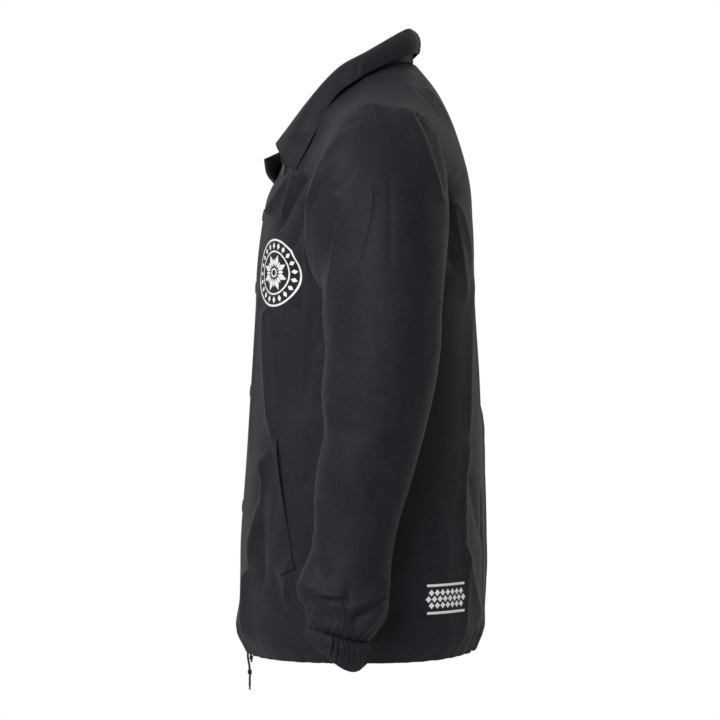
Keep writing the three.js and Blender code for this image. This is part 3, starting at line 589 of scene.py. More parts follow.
def new_mesh(name, vertices, faces, material, loops_uv=None, flat=False):
    """A mesh object from whole arrays of vertices and of faces with equal numbers of corners."""
    faces = np.asarray(faces)
    mesh = bpy.data.meshes.new(name)
    mesh.vertices.add(len(vertices))
    mesh.vertices.foreach_set("co", np.asarray(vertices, np.float32).reshape(-1))
    mesh.loops.add(faces.size)
    mesh.loops.foreach_set("vertex_index", faces.astype(np.int32).reshape(-1))
    mesh.polygons.add(len(faces))
    mesh.polygons.foreach_set("loop_start", np.arange(len(faces), dtype=np.int32) * faces.shape[1])
    if loops_uv is not None:
        layer = mesh.uv_layers.new(name="cloth")
        layer.data.foreach_set("uv", np.asarray(loops_uv, np.float32).reshape(-1))
    mesh.update(calc_edges=True)
    mesh.polygons.foreach_set("use_smooth", np.full(len(faces), not flat))
    mesh.validate()
    mesh.materials.append(material)
    piece = bpy.data.objects.new(name, mesh)
    bpy.context.scene.collection.objects.link(piece)
    return piece


def keep(piece, slot, *nodes):
    """The piece rides on the jacket and stands for the named nodes; the slot is not used."""
    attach(piece, BODY)
    if nodes:
        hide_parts(*nodes)
    return piece


# Edges as (beyond, inward) steps: a pressed seam, a turned front edge and a deep turned hem
SEAM_TURN = [(-0.02, 0.3), (-0.1, 1), (-0.1, 4.5)]
FACING_TURN = [(0.1, 0.35), (0.15, 1.2), (-0.3, 2), (-4, 2.3), (-28, 2.6)]
HEM_TURN = [(0.2, 0.4), (0.3, 1.3), (-0.2, 2.2), (-4, 2.5), (-24, 2.7)]
NECK_TURN = [(0, 0.5), (-0.2, 3)]
HEAD_TURN = [(0, 0.5), (-0.1, 1.4), (-0.1, 5)]
SLEEVE_END_TURN = [(0.1, 0.5), (0.15, 1.4), (0.15, 4)]
CUFF_TOP_TURN = [(0.1, 0.5), (0.1, 1.5), (-1, 2.4)]
CUFF_END_TURN = [(0.1, 0.5), (0.1, 1.6), (-0.5, 3)]
COLLAR_TURN = [(0.2, -0.6), (0.1, -4)]
WELT_TURN = [(0.2, 0.4), (0.2, 1.4)]


def panel_levels():
    """Levels of a panel's fine rows: close at the gathered hem and over the chest's slanting creases."""
    rest = spans((0, 0.1, 0.66, 0.93, 1), (33, 71, 59, 12))
    marks = np.array([UNDERARM, NECK, CORNER])
    return np.unique(np.concatenate([rest[np.min(np.abs(rest[:, None] - marks), 1) > 0.0012], marks]))


def hem_gathers(points, along, phase, drawn):
    """The casing: an uneven wave round the hem, strongest where drawn is 1, that dies out above it."""
    height = points[..., 2] - HEM_LEVEL
    fade = smooth(1 - (height - 12) / 52) ** 1.4
    broad = uneven_wave(along, 27, phase) * (0.3 + 2.2 * drawn) * fade
    fine = uneven_wave(along, 10.5, phase + 1.1) * (0.08 + 1.1 * drawn) * smooth(1 - (height - 22) / 20)
    channel = -0.55 * np.exp(-((height - CASING_HEIGHT) / 1.6) ** 2)
    puckers = 0.22 * uneven_wave(along, 6.3, phase) * np.exp(-((height - CASING_HEIGHT) / 5) ** 2)
    return broad + fine + channel + puckers


def seam_dip(to_seam, levels):
    """Beside a seam: a groove and, 4 mm from it, a low swelling, both gone at the shoulder's end."""
    dip = -0.55 * np.exp(-(to_seam / 1.4) ** 2) + 0.3 * np.exp(-((to_seam - 4) / 2.2) ** 2)
    return dip * smooth((1 - levels)[:, None] / 0.02)


def front_shares():
    """Shares across a front: closest over the part that the photograph sees."""
    return spans((0, 0.26, 0.84, 1), (31, 141, 21))


@lru_cache(maxsize=None)
def front_grid(side):
    """A front's levels and fine surface: its sections, the lap, the folds and the hem's gathers."""
    left = side == "left"
    rows = FRONT_SECTIONS
    if not left:
        rows = [row._replace(**RIGHT_CORNER.get(row.level, {})) for row in rows]
    levels = panel_levels()
    points = sections(rows, (CORNER, NECK), levels, front_shares())
    normals = grid_normals(points)
    x, z = points[..., 0], points[..., 2]
    lap = (LAP_CLEARANCE if left else -LAP_CLEARANCE) * smooth((62 - x) / 34) * smooth((-130 - z) / 30)
    along = arc_length(points, 1)
    to_seam = along[:, -1:] - along
    from_edge = np.minimum(along, to_seam)
    free = smooth(from_edge / 22) * smooth((1 - levels)[:, None] / 0.03) * smooth((x - 14) / 26)
    folds = fold_rise(points, LEFT_FRONT_FOLDS if left else RIGHT_FRONT_FOLDS)
    if left:
        # The folds are matched to a view from the side, so they rise more where the cloth turns away from it
        folds = folds / np.clip(np.abs(normals[..., 0]), 0.42, 1)
    drawn = np.exp(-((x - 52) / 44) ** 2) + 0.08 * smooth((x - 150) / 50)
    gathers = hem_gathers(points, along, 0.4 if left else 2.3, drawn)
    placket = -0.5 * np.exp(-((along - PLACKET_WIDTH) / 1.6) ** 2) * smooth((-150 - z) / 20)
    relief = lap + folds * free + gathers * smooth(from_edge / 16) + placket + seam_dip(to_seam, levels)
    return levels, points + normals * relief[..., None]


@lru_cache(maxsize=None)
def back_grid(side):
    """Levels and fine surface of half the back, on the +X side but with the folds of the given side."""
    sign, strength = (1, 1.0) if side == "left" else (-1, 0.55)
    levels = panel_levels()
    points = sections(BACK_SECTIONS, (NECK,), levels, np.linspace(0, 1, BACK_COLUMNS))
    normals = grid_normals(points, outward=-1)
    normals[levels <= NECK, 0, 0] = 0
    normals = unit(normals)
    x = points[..., 0]
    along = arc_length(points, 1)
    to_seam = along[:, -1:] - along
    rim = smooth(to_seam / 22) * smooth((1 - levels)[:, None] / 0.03)
    neck = np.where(levels[:, None] > NECK - 0.02, smooth(along / 16), 1)
    placed = points * (sign, 1, 1)
    mask = strength * smooth((x - 16) / 60)
    folds = fold_rise(placed, BACK_FACE_FOLDS) + mask * fold_rise(placed, BACK_SIDE_FOLDS)
    gathers = hem_gathers(points, along * sign, 1.7, 0.08 + 0.8 * np.exp(-((x - 78) / 52) ** 2))
    return levels, points + normals * ((folds + gathers) * rim * neck + seam_dip(to_seam, levels))[..., None]


def make_fronts(cloth, wall):
    """Both fronts, each with its edges turned in."""
    edges = [("last_column", SEAM_TURN), ("last_row", SEAM_TURN), ("first_column", FACING_TURN),
             ("first_row", HEM_TURN)]
    return [dress(f"front_{side}", [worn(edged_patch(front_grid(side)[1], edges), side)], wall, cloth)
            for side in SIDES]


def make_back(cloth, wall):
    """The back: two halves welded at the centre, with the neck edge turned down inside."""
    edges = [("last_column", SEAM_TURN), ("last_row", SEAM_TURN), ("first_row", HEM_TURN)]
    patches = []
    for side in SIDES:
        levels, points = back_grid(side)
        strip = points[levels >= NECK, :2]
        strip = turned(strip, grid_normals(strip, outward=-1), NECK_TURN, "first_column")
        strip = strip[:, :len(NECK_TURN) + 1]
        halves = (edged_patch(points, edges, -1), Patch(strip, grown_uv(strip), False, True))
        patches += [worn(half, side) for half in halves]
    return dress("back", patches, wall, cloth)


def armhole(shares):
    """Points, outward normals and in-cloth directions of the armhole; shares run 0..1 from the tip round."""
    front = shares <= 0.5
    fine = np.linspace(UNDERARM, 1, 400)
    result = []
    for rows, outward, mask, place in ((FRONT_SECTIONS, 1, front, 1 - 2 * shares),
                                       (BACK_SECTIONS, -1, ~front, 2 * shares - 1)):
        curve = column(rows, "outer", fine, (UNDERARM,))
        run = path_run(curve)
        level = np.interp(place[mask] * run[-1], run, fine)
        beyond = unit(-column(rows, "trail", level))
        up = interpolated(level, fine, unit(np.gradient(curve, axis=0)))
        normal = unit(np.cross(beyond, up)) * outward
        result.append((column(rows, "outer", level, (UNDERARM,)), normal, beyond))
    return [np.concatenate(parts) for parts in zip(*result)]


def ring_points(rings, level, angle):
    """A sleeve's rings, ovals a little squared: middle + out * half width + forward * half depth."""
    inner, outer = column(rings, "inner", level), column(rings, "outer", level)
    front, back = column(rings, "front", level), column(rings, "back", level)
    out = np.sign(np.cos(angle)) * np.abs(np.cos(angle)) ** 0.94
    forward = np.sign(np.sin(angle)) * np.abs(np.sin(angle)) ** 0.94
    middle, half = (inner + outer) / 2, (outer - inner) / 2
    x = middle[:, :1] + out * half[:, :1]
    z = middle[:, 1:] + out * half[:, 1:] + forward * column(rings, "tilt", level) / 2
    y = (front + back) / 2 + forward * (front - back) / 2
    return np.stack([x, y, z], -1)


def head_shares():
    """Shares round the armhole: closest over the gathered head, close on the outer face, wide underneath."""
    return np.sort(spans((-0.3, -0.16, 0.07, 0.3, 0.7), (36, 108, 58, 30))[:-1] % 1)


def sleeve_base(shares, levels):
    """A sleeve's plain surface and the run round its armhole: rings that leave the armhole's own curve."""
    angle = 2 * np.pi * shares
    seam, normal, beyond = armhole(shares)
    away = ring_points(SLEEVE_RINGS, np.array([SLEEVE_RINGS[1].level]), angle)[0] - seam
    along = np.maximum((away * beyond).sum(-1, keepdims=True), 0)
    across = np.maximum((away * normal).sum(-1, keepdims=True), 0)
    reach = np.hypot(along, across)
    start = seam + beyond * 1.3 * SEAM_GAP * along / reach
    start = start + normal * (SLEEVE_SEAT + CAD_WALL / 2) * across / reach
    blend = (smooth(levels / SLEEVE_HEAD) ** 0.6)[:, None, None]
    points = start[None] * (1 - blend) + ring_points(SLEEVE_RINGS, levels, angle) * blend
    round_run = np.cumsum(np.linalg.norm(np.diff(seam, axis=0, append=seam[:1]), axis=1))
    return points, (round_run + round_run[-1] / 2) % round_run[-1] - round_run[-1] / 2


def head_relief(run, round_run):
    """The gathered head: uneven pleats that fan out down the sleeve and die away, on a low puff."""
    head = smooth(1.25 - np.abs(round_run + 24) / 62)[None]
    slant = round_run[None] + 0.35 * run * np.tanh((round_run[None] + 24) / 30)
    pleats = (np.abs(uneven_wave(slant, 12.4, 0.7)) ** 0.6 - 0.75) * head
    pleats = pleats * (4.6 * smooth(run / 2.5) * np.exp(-(run / (44 + 9 * np.sin(round_run / 9))) ** 2))
    puff = 1.9 * smooth(run / 7) * np.exp(-run / 26) * smooth(1 - np.abs(round_run) / 130)[None]
    return pleats + puff


def end_relief(end_run, angle):
    """Above the cuff: fine gathers at its seam, broad ones that wander upwards, and rolls across them."""
    turn = angle[None] / (2 * np.pi) * SLEEVE_END_GIRTH
    wander = 3.2 * np.sin(end_run / 17 + 0.11 * turn)
    fine = np.abs(uneven_wave(turn + wander, 15, 0.3)) - 0.45
    gathers = fine * 3.1 * smooth(1 - end_run / 30) * (0.75 + 0.25 * np.sin(turn / 21))
    broad = uneven_wave(turn + 2.2 * wander, 34, 1.3) * 2.6 * np.exp(-((end_run - 26) / 20) ** 2)
    rolls = 1.5 * np.sin((end_run + 5 * np.sin(turn / 17)) / 5.2) * np.exp(-((end_run - 22) / 13) ** 2)
    rolls = rolls * smooth(0.55 + 0.6 * np.sin(turn / 26 + 0.6))
    return gathers + broad + rolls * smooth(end_run / 9)


def sleeve_grid(side):
    """A sleeve's fine surface: its plain one with creases and gathers, the lowest creases sagging."""
    shares = head_shares()
    levels = spans((0, 0.05, 0.32, 0.78, 1), (19, 57, 47, 63))
    points, round_run = sleeve_base(shares, levels)
    normals = grid_normals(points, closed=True)
    run = arc_length(points, 0)
    end_run = run[-1][None] - run
    outside = smooth(0.25 + normals[..., 0])
    folds = outside * fold_rise(points, LEFT_SLEEVE_FOLDS if side == "left" else RIGHT_SLEEVE_FOLDS)
    folds = folds + (1 - outside) * fold_rise(points, INNER_SLEEVE_FOLDS)
    inside = smooth(run / 14) * smooth((1 - levels)[:, None] / 0.012)
    relief = folds * inside + head_relief(run, round_run) + end_relief(end_run, 2 * np.pi * shares)
    droop = smooth((SAG_LEVEL - points[..., 2]) / 26) * smooth(end_run / 6)
    points = points + normals * relief[..., None]
    points[..., 2] -= 0.95 * np.maximum(folds, 0) * inside * droop
    return points


def make_sleeves(cloth, wall):
    """Both sleeves, their heads turned in at the armhole and their ends drawn into the cuffs."""
    edges = [("first_row", HEAD_TURN), ("last_row", SLEEVE_END_TURN)]
    patches = {side: edged_patch(sleeve_grid(side), edges, closed=True) for side in SIDES}
    return [dress(f"sleeve_{side}", [worn(patch, side)], wall, cloth) for side, patch in patches.items()]


def cuff_grid(phase):
    """An elastic cuff's fine surface: a short oval ring, pleated unevenly and drawn in at both ends."""
    angle = round_angles(10 * CUFF_GATHERS)
    levels = np.linspace(0, 1, 26)
    inner, outer, front, back, height, tilt = (
        column(CUFF_RINGS, name, levels) for name in CuffRing._fields[1:])
    way = levels[:, None]
    turn = angle * CUFF_GATHERS / 2 + 0.9 * np.sin(3 * angle + phase) + 0.7 * np.sin(5 * angle + 2 * phase)
    turn = turn + 0.8 * np.sin(4 * angle + 4 * way + phase) - 0.9 * way
    pleat = np.abs(np.sin(turn)) ** 0.5 - 0.66
    second = 0.35 * np.sin(3.1 * turn + 4 * way)
    size = 3.5 + 1.2 * np.sin(5 * angle + phase + 2 * way)
    rows = -0.4 * np.exp(-((way - 0.22) / 0.05) ** 2) - 0.4 * np.exp(-((way - 0.8) / 0.05) ** 2)
    depth = size * (pleat * (0.7 + 0.3 * np.cos(3 * (way - 0.15))) + second * 0.6) + rows
    depth = depth * (0.35 + 0.65 * smooth(way / 0.3)) - 2.2 * (1 - smooth(way / 0.22))
    depth = depth - 3.4 * smooth((way - 0.72) / 0.28)
    bulge = 4 * np.sin(np.pi * way) ** 0.7 + 0.5 * np.sin(5 * angle + 5 * way)
    x = (inner + outer) / 2 + np.cos(angle) * ((outer - inner) / 2 + depth + bulge)
    y = (front + back) / 2 + np.sin(angle) * ((front - back) / 2 - depth - bulge)
    sag = 9 * way * np.cos(angle) ** 2 * (0.55 - 0.45 * np.sin(angle))
    return np.stack([x, y, height + np.sin(angle) * tilt / 2 - sag], -1)


def make_cuffs(cloth, wall):
    """Both elastic cuffs, with their two ends turned in."""
    edges = [("first_row", CUFF_TOP_TURN), ("last_row", CUFF_END_TURN)]
    patches = {side: edged_patch(cuff_grid(phase), edges, closed=True) for side, phase in CUFF_PHASES.items()}
    return [dress(f"cuff_{side}", [worn(patch, side)], wall, cloth, "cuff")
            for side, patch in patches.items()]


def collar_normals(points):
    """Normals of the collar's grid, on the face that shows."""
    normals = grid_normals(points)
    return -normals if normals[-8, points.shape[1] // 4, 0] < 0 else normals


def neck_seam(count):
    """The neck seam on the +X side from centre back to the collar's end, with its share 0..1 of the way."""
    back = np.linspace(NECK, 1, int(count * 3 / 7) + 1)
    front = np.linspace(1, NECK, count - int(count * 3 / 7) + 1)[1:]
    station = np.concatenate([(back - NECK) / 0.1 * 3 / 7, 3 / 7 + (1 - front) / 0.1 * 4 / 7])
    points = np.concatenate([column(BACK_SECTIONS, "inner", back, (NECK,)),
                             column(FRONT_SECTIONS, "inner", front, (CORNER, NECK))])
    return points, station


def collar_half():
    """Half the collar: stand up to the roll, over it, and the leaf down to its turned edge."""
    seam, station = neck_seam(110)
    fold, belly, edge = (column(COLLAR_STATIONS, name, station) for name in ("fold", "belly", "edge"))
    up = unit(fold - seam)
    height = np.linalg.norm(fold - seam, axis=1, keepdims=True)
    base = seam + up * (SEAM_GAP + 0.6 * CAD_WALL)
    shoulder = fold - up * np.minimum(4, 0.4 * height)
    down = unit(fold * 0.55 + edge * 0.45 + belly - fold)
    start = fold + down * 4.5
    crown = fold + (up + down) * 0.6
    middle = start * 0.55 + edge * 0.45 + belly
    rise = np.linspace(0, 1, 9)[:-1, None, None]
    roll = np.linspace(0, 1, 9)[:-1, None, None]
    fall = np.linspace(0, 1, 34)[:, None, None]

    def bent(a, b, c, t):
        return (1 - t) ** 2 * a + 2 * t * (1 - t) * b + t * t * c

    return np.concatenate([base * (1 - rise) + shoulder * rise, bent(shoulder, crown, start, roll),
                           bent(start, middle, edge, fall)])


def collar_grid():
    """The whole collar, left end to right end, with its creases and the groove of its edge stitching."""
    half = collar_half()
    points = np.concatenate([half[:, ::-1], (half * (-1, 1, 1))[:, 1:]], 1)
    run = arc_length(points, 0)
    to_edge = run[-1][None] - run
    ends = arc_length(points, 1)
    to_end = np.minimum(ends, ends[:, -1:] - ends)
    leaf = smooth((np.arange(len(points))[:, None] - ROLL_ROWS) / 6)
    middle = (points.shape[1] - 1) / 2
    station = np.abs(np.arange(points.shape[1]) - middle)[None] / middle
    lay = -4.9 * smooth((run - 0.5 * run[-1]) / (0.45 * run[-1])) * smooth((station - 0.2) / 0.25)
    lay = lay * smooth((1 - station) / 0.2)
    creases = fold_rise(points, COLLAR_FOLDS) * np.where(points[..., 0] > 0, 1, 0.7) * leaf
    edge_run = np.minimum(to_edge, np.where(leaf > 0, to_end, 99))
    groove = -0.45 * np.exp(-((edge_run - EDGE_STITCH) / 1.1) ** 2) * leaf
    pucker = 0.35 * uneven_wave(ends, 8.5, 0.9) * np.exp(-((edge_run - 4.5) / 4) ** 2) * leaf
    return points + collar_normals(points) * (creases + groove + pucker + lay)[..., None]


def make_collar(cloth, wall):
    """The collar, doubled cloth, with its seam edge turned in."""
    points = collar_grid()
    points = turned(points, collar_normals(points), COLLAR_TURN, "first_row")
    return dress("collar", [Patch(points, grown_uv(points), False, False)], 1.5 * wall, cloth)


def on_front(side, shares, levels, lift):
    """Points on a front at the given shares across and levels, moved out by lift, with their normals."""
    grid_levels, points = front_grid(side)
    normals = grid_normals(points)
    column_at = np.interp(shares, front_shares(), np.arange(points.shape[1]))
    row_at = np.interp(levels, grid_levels, np.arange(len(grid_levels)))
    i = np.minimum(column_at.astype(int), points.shape[1] - 2)
    j = np.minimum(row_at.astype(int), points.shape[0] - 2)
    s, t = (column_at - i)[..., None], (row_at - j)[..., None]

    def blend(values):
        low = values[j, i] * (1 - s) + values[j, i + 1] * s
        high = values[j + 1, i] * (1 - s) + values[j + 1, i + 1] * s
        return low * (1 - t) + high * t

    face = unit(blend(normals))
    return blend(points) + face * lift, face


def make_welts(cloth, wall):
    """Slanted single welts: a flat doubled strip whose four edges turn down to the front."""
    down, out = np.meshgrid(np.linspace(0, 1, 110), np.linspace(0, 1, 24), indexing="ij")
    (sewn_top, sewn_bottom), (open_top, open_bottom) = np.array([WELT_SEWN, WELT_OPEN])
    top = sewn_top * (1 - out[..., None]) + open_top * out[..., None]
    bottom = sewn_bottom * (1 - out[..., None]) + open_bottom * out[..., None]
    place = bottom * (1 - down[..., None]) + top * down[..., None]
    edge = np.minimum(np.minimum(down, 1 - down) * WELT_LENGTH, out * WELT_WIDTH)
    lift = 0.9 + 1.1 * smooth(np.minimum(edge, (1 - out) * WELT_WIDTH + 1.2) / 1.6)
    lift = lift - 0.4 * np.exp(-((edge - 3) / 0.9) ** 2) + 0.25 * uneven_wave(down * WELT_LENGTH, 13, 0.8)
    lift = lift + 2.4 * out ** 3 * smooth((down - 0.3) / 0.4) * smooth((1 - down) / 0.1)
    made = []
    for side in SIDES:
        points, _ = on_front(side, place[..., 0], place[..., 1], lift[..., None])
        patch = edged_patch(points, [("last_column", WELT_TURN)])
        made.append(dress(f"welt_{side}", [worn(patch, side)], 0.8 * wall, cloth))
    return made


def revolved(profile, sides, centre, axis):
    """A profile of (radius, height) rows turned about an axis through the centre."""
    profile = np.array(profile, float)
    across = unit(np.cross(axis, (0.3, 0.1, 0.95) if abs(axis[2]) < 0.8 else (1.0, 0.1, 0)))
    ring = circles(across[None], np.cross(axis, across)[None], round_angles(sides))
    points = centre + profile[:, None, :1] * ring + profile[:, None, 1:] * axis
    return points.reshape(-1, 3), quads_of(points.shape[:2], True, False)


def make_snaps(paint):
    """Press-stud caps: a domed disc with a raised rim, square to the cloth at each stud's place."""
    _, points = front_grid("left")
    normals = grid_normals(points).reshape(-1, 3)
    points = points.reshape(-1, 3)
    for k in range(1, 6):
        low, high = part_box(f"snap_{k}")
        centre = (np.array(low) + np.array(high)) / 2 / MM
        axis = unit(normals[np.argmin(((points - centre) ** 2).sum(-1))])
        vertices, faces = revolved(SNAP_PROFILE, 40, centre - SNAP_SEAT * axis, axis)
        keep(new_mesh(f"snap_cap_{k}", vertices * MM, faces, paint), "snap", f"snap_{k}")


def stitches(path, normals, pitch=3.3, length=2.5, width=0.55):
    """Topstitches along a path: one small rounded bar for every pitch, lying on the cloth."""
    run = path_run(path)
    at = np.arange(pitch / 2, run[-1], pitch)
    along = unit(interpolated(at + 0.5, run, path) - interpolated(at - 0.5, run, path))
    face = unit(interpolated(at, run, normals))
    side = np.cross(face, along)
    rings = [(end, wide, tall) for end in (-0.32, 0.32) for wide, tall in STITCH_RING]
    shape = np.array([(-0.5, 0, 0.05), *rings, (0.5, 0, 0.05)]) * (length, width, width)
    vertices = (interpolated(at, run, path)[:, None] + shape[None, :, :1] * along[:, None]
                + shape[None, :, 1:2] * side[:, None] + shape[None, :, 2:] * face[:, None])
    faces = [(0, 2, 1), (0, 3, 2), (0, 4, 3), (0, 1, 4), (9, 5, 6), (9, 6, 7), (9, 7, 8), (9, 8, 5)]
    for a, b in ((1, 2), (2, 3), (3, 4), (4, 1)):
        faces += [(a, b, b + 4), (a, b + 4, a + 4)]
    faces = np.array(faces)[None] + len(shape) * np.arange(len(at))[:, None, None]
    return vertices.reshape(-1, 3), faces.reshape(-1, 3)


def raised(points, normals, lift, side):
    """Points lifted off the cloth, with their normals, both on their own side of the wearer."""
    flip = (1 if side == "left" else -1, 1, 1)
    return (points + normals * lift) * flip, normals * flip


def collar_lines(lift):
    """Lines inside the collar's edge: along the leaf and up both of its ends, as (path, normals) pairs."""
    points = collar_grid()
    normals = collar_normals(points)
    outer = points + normals * lift
    run = arc_length(points, 0)
    row = np.argmin(np.abs(run[-1] - run - EDGE_STITCH).mean(1))
    ends = arc_length(points, 1)[row]
    first = np.argmin(np.abs(ends - EDGE_STITCH))
    last = np.argmin(np.abs(ends[-1] - ends - EDGE_STITCH))
    up = slice(ROLL_ROWS + 1, row + 1)
    places = ((row, slice(first, last + 1)), (up, first), (up, last))
    return [(outer[place], normals[place]) for place in places]


def placket_lines(lift):
    """A line down the left front behind its edge, from the opening's corner to the hem."""
    levels, points = front_grid("left")
    out, face = raised(points, grid_normals(points), lift, "left")
    rows = np.flatnonzero(levels < 0.8)
    at = np.argmin(np.abs(arc_length(points, 1) - PLACKET_WIDTH), axis=1)[rows]
    return [(out[rows, at], face[rows, at])]


def hem_lines(lift):
    """Lines round the hem along the top of its casing, on each front and each half of the back."""
    lines = []
    for side in SIDES:
        for (_, points), outward, level, part in (
                (front_grid(side), 1, HEM_LEVEL + CASING_HEIGHT, slice(1, -1)),
                (back_grid(side), -1, HEM_LEVEL + CASING_HEIGHT + BACK_CASING_RISE, slice(-1))):
            out, face = raised(points, grid_normals(points, outward=outward), lift, side)
            row = np.argmin(np.abs(points[:, MIDDLE_COLUMN, 2] - level))
            lines.append((out[row, part], face[row, part]))
    return lines


def welt_lines(lift):
    """A line inside each welt's edges: across its top, down the sewn side and across its bottom."""
    (sewn_top, sewn_bottom), (open_top, open_bottom) = np.array([WELT_SEWN, WELT_OPEN])
    corners = [sewn_top * (1 - s) + open_top * s for s in (0.97, 0.11)]
    corners += [sewn_bottom * (1 - s) + open_bottom * s for s in (0.11, 0.97)]
    corners = [(1 - WELT_INSET) * place + WELT_INSET * other for place, other in zip(corners, corners[::-1])]
    place = interpolated(np.linspace(0, 3, 150), range(4), corners)
    return [raised(*on_front(side, place[:, 0], place[:, 1], lift), 0, side) for side in SIDES]


def make_stitching(thread, wall):
    """All topstitching: collar edge, placket, hem casing and welts, one piece for each."""
    lines = {"collar": collar_lines(0.75 * wall + 0.1), "plackets": placket_lines(wall / 2 + 0.1),
             "hem": hem_lines(wall / 2 + 0.1), "welts": welt_lines(0.4 * wall + 2.1)}
    for name, paths in lines.items():
        vertices, faces = joined([stitches(path, face) for path, face in paths])
        keep(new_mesh(f"stitching_{name}", vertices * MM, faces, thread), "cord")


def lay_print(name, shapes, points, normals, centre, outwards, ink):
    """A mesh of flat shapes laid on a grid: across runs along each row from the centre's y, up is height."""
    points = points + normals * PRINT_LIFT
    runs = arc_length(points, 1)
    refer = np.array([np.interp(centre[0], row[::outwards, 1], run[::outwards])
                      for row, run in zip(points, runs)])
    heights = points[:, points.shape[1] // 2, 2]

    def on_row(row, across):
        target = refer[row] + across
        i = np.clip((runs[row] < target[..., None]).sum(-1) - 1, 0, points.shape[1] - 2)
        low, high = runs[row, i], runs[row, i + 1]
        s = ((target - low) / (high - low))[..., None]
        return points[row, i] * (1 - s) + points[row, i + 1] * s

    parts = []
    for across, up, closed in shapes:
        aim = centre[1] + up
        # Rows aren't level, so the height aimed at is put right by what it missed, five times over
        for _ in range(5):
            j = np.interp(aim, heights, np.arange(len(points)))
            low_j = np.minimum(j.astype(int), len(points) - 2)
            t = (j - low_j)[..., None]
            place = on_row(low_j, across) * (1 - t) + on_row(low_j + 1, across) * t
            aim = aim + centre[1] + up - place[..., 2]
        parts.append((place.reshape(-1, 3), quads_of(across.shape, closed, False)))
    vertices, faces = joined(parts)
    keep(new_mesh(name, vertices * MM, faces, ink), "shell")


def annulus(inner, outer, sides=168, rings=3):
    """Flat ring as a grid of (across, up) millimetres."""
    radius = np.linspace(inner, outer, rings)[:, None]
    angle = np.linspace(0, 2 * np.pi, sides, endpoint=False)[None]
    return radius * np.cos(angle), radius * np.sin(angle), True


def kite(angle, near, far, half_width, rows=9):
    """Flat kite that points outwards from a centre, as a grid of (across, up) millimetres."""
    along = np.linspace(0, 1, rows)[:, None]
    wide = half_width * (1 - np.abs(2 * along - 1)) + 0.02
    side = np.linspace(-1, 1, 3)[None] * wide
    out = near + (far - near) * along
    across = out * np.cos(angle) - side * np.sin(angle)
    up = out * np.sin(angle) + side * np.cos(angle)
    return across, up, False


def make_roundel(ink):
    """A generic oval chest print: a ring of diamonds round an eight-point star between plain rings."""
    shapes = [annulus(42.4, 45), annulus(27.2, 29.4), annulus(4, 6.2)]
    shapes += [kite(2 * np.pi * k / 20, 31.2, 40.6, 3.1) for k in range(20)]
    shapes += [kite(np.pi * k / 4 + np.pi / 8, 8, 25, 4) for k in range(8)]
    shapes += [kite(np.pi * k / 4, 8, 19, 2.6) for k in range(8)]
    shapes = [(1.32 * across, 0.93 * up, closed) for across, up, closed in shapes]
    _, points = front_grid("left")
    lay_print("chest_print", shapes, points, grid_normals(points), CHEST_PRINT_AT, 1, ink)


def make_hem_block(ink):
    """A generic block at the left of the back's hem: two bars with rows of diamonds between them."""
    across, up = np.meshgrid(np.linspace(34, -34, 26), np.linspace(-1.5, 1.5, 3))
    shapes = [(across, up + 16.5, False), (across, up - 16.5, False)]
    across, up, _ = kite(np.pi / 2, -4.1, 4.1, 4.3)
    for height, count in ((-7.6, 7), (0, 8), (7.6, 7)):
        shapes += [((k - (count - 1) / 2) * 9.1 - across, up + height, False) for k in range(count)]
    _, points = back_grid("left")
    lay_print("hem_print", shapes, points, grid_normals(points, outward=-1), HEM_PRINT_AT, -1, ink)


def tube(path, radius, sides, twist=0.0, lobes=0, depth=0.0):
    """Closed tube along a path: rings square to it, with optional twisted lobes for a laid cord."""
    ahead = unit(np.gradient(path, axis=0))
    side = unit(np.cross(ahead, (1.0, 0.2, 0.1)))
    angle = round_angles(sides)
    swell = radius * (1 + depth * np.cos(lobes * angle[None] + twist * path_run(path)[:, None]))
    points = path[:, None] + swell[..., None] * circles(side, np.cross(ahead, side), angle)
    body = quads_of(points.shape[:2], True, False)
    count = len(path) * sides
    near = np.arange(sides)
    step = (near + 1) % sides
    last = count - sides
    caps = [np.stack([near, np.full(sides, count), step], -1),
            np.stack([last + step, np.full(sides, count + 1), last + near], -1)]
    triangles = np.concatenate([body[:, [0, 1, 2]], body[:, [0, 2, 3]], *caps])
    return np.concatenate([points.reshape(-1, 3), path[[0, -1]]]), triangles


def smooth_path(points, count):
    """Evenly spaced points on a smooth curve through given ones."""
    run = path_run(points)
    rows = [Stop(level, place) for level, place in zip(run, points)]
    return column(rows, "place", np.linspace(0, run[-1], count))


def make_cord(yarn):
    """The hanging cord with its knot and frayed tip, and the drawn-up end with its own knot."""
    exit_point = np.array(CORD_EXIT)
    route = smooth_path(CORD_ROUTE, 90) + exit_point
    vertices, faces = tube(route, 1.35, 18, twist=0.9, lobes=3, depth=0.1)
    cord = keep(new_mesh("hem_cord", vertices * MM, faces, yarn), "cord", "drawcord")
    knot = keep(overhand_knot("hem_cord_knot", exit_point + KNOT_DROP, yarn), "cord", "drawcord_knot")
    tip = keep(frayed_tip("hem_cord_tip", route[-1], yarn), "cord")
    stub_path = smooth_path(np.array(STUB_ROUTE) + STUB_AT, 30)
    vertices, faces = tube(stub_path, 1.2, 14, twist=0.9, lobes=3, depth=0.1)
    keep(new_mesh("hem_cord_stub", vertices * MM, faces, yarn), "cord", "drawcord_stub")
    keep(overhand_knot("hem_cord_stub_knot", np.array(STUB_AT), yarn, 0.85), "cord")


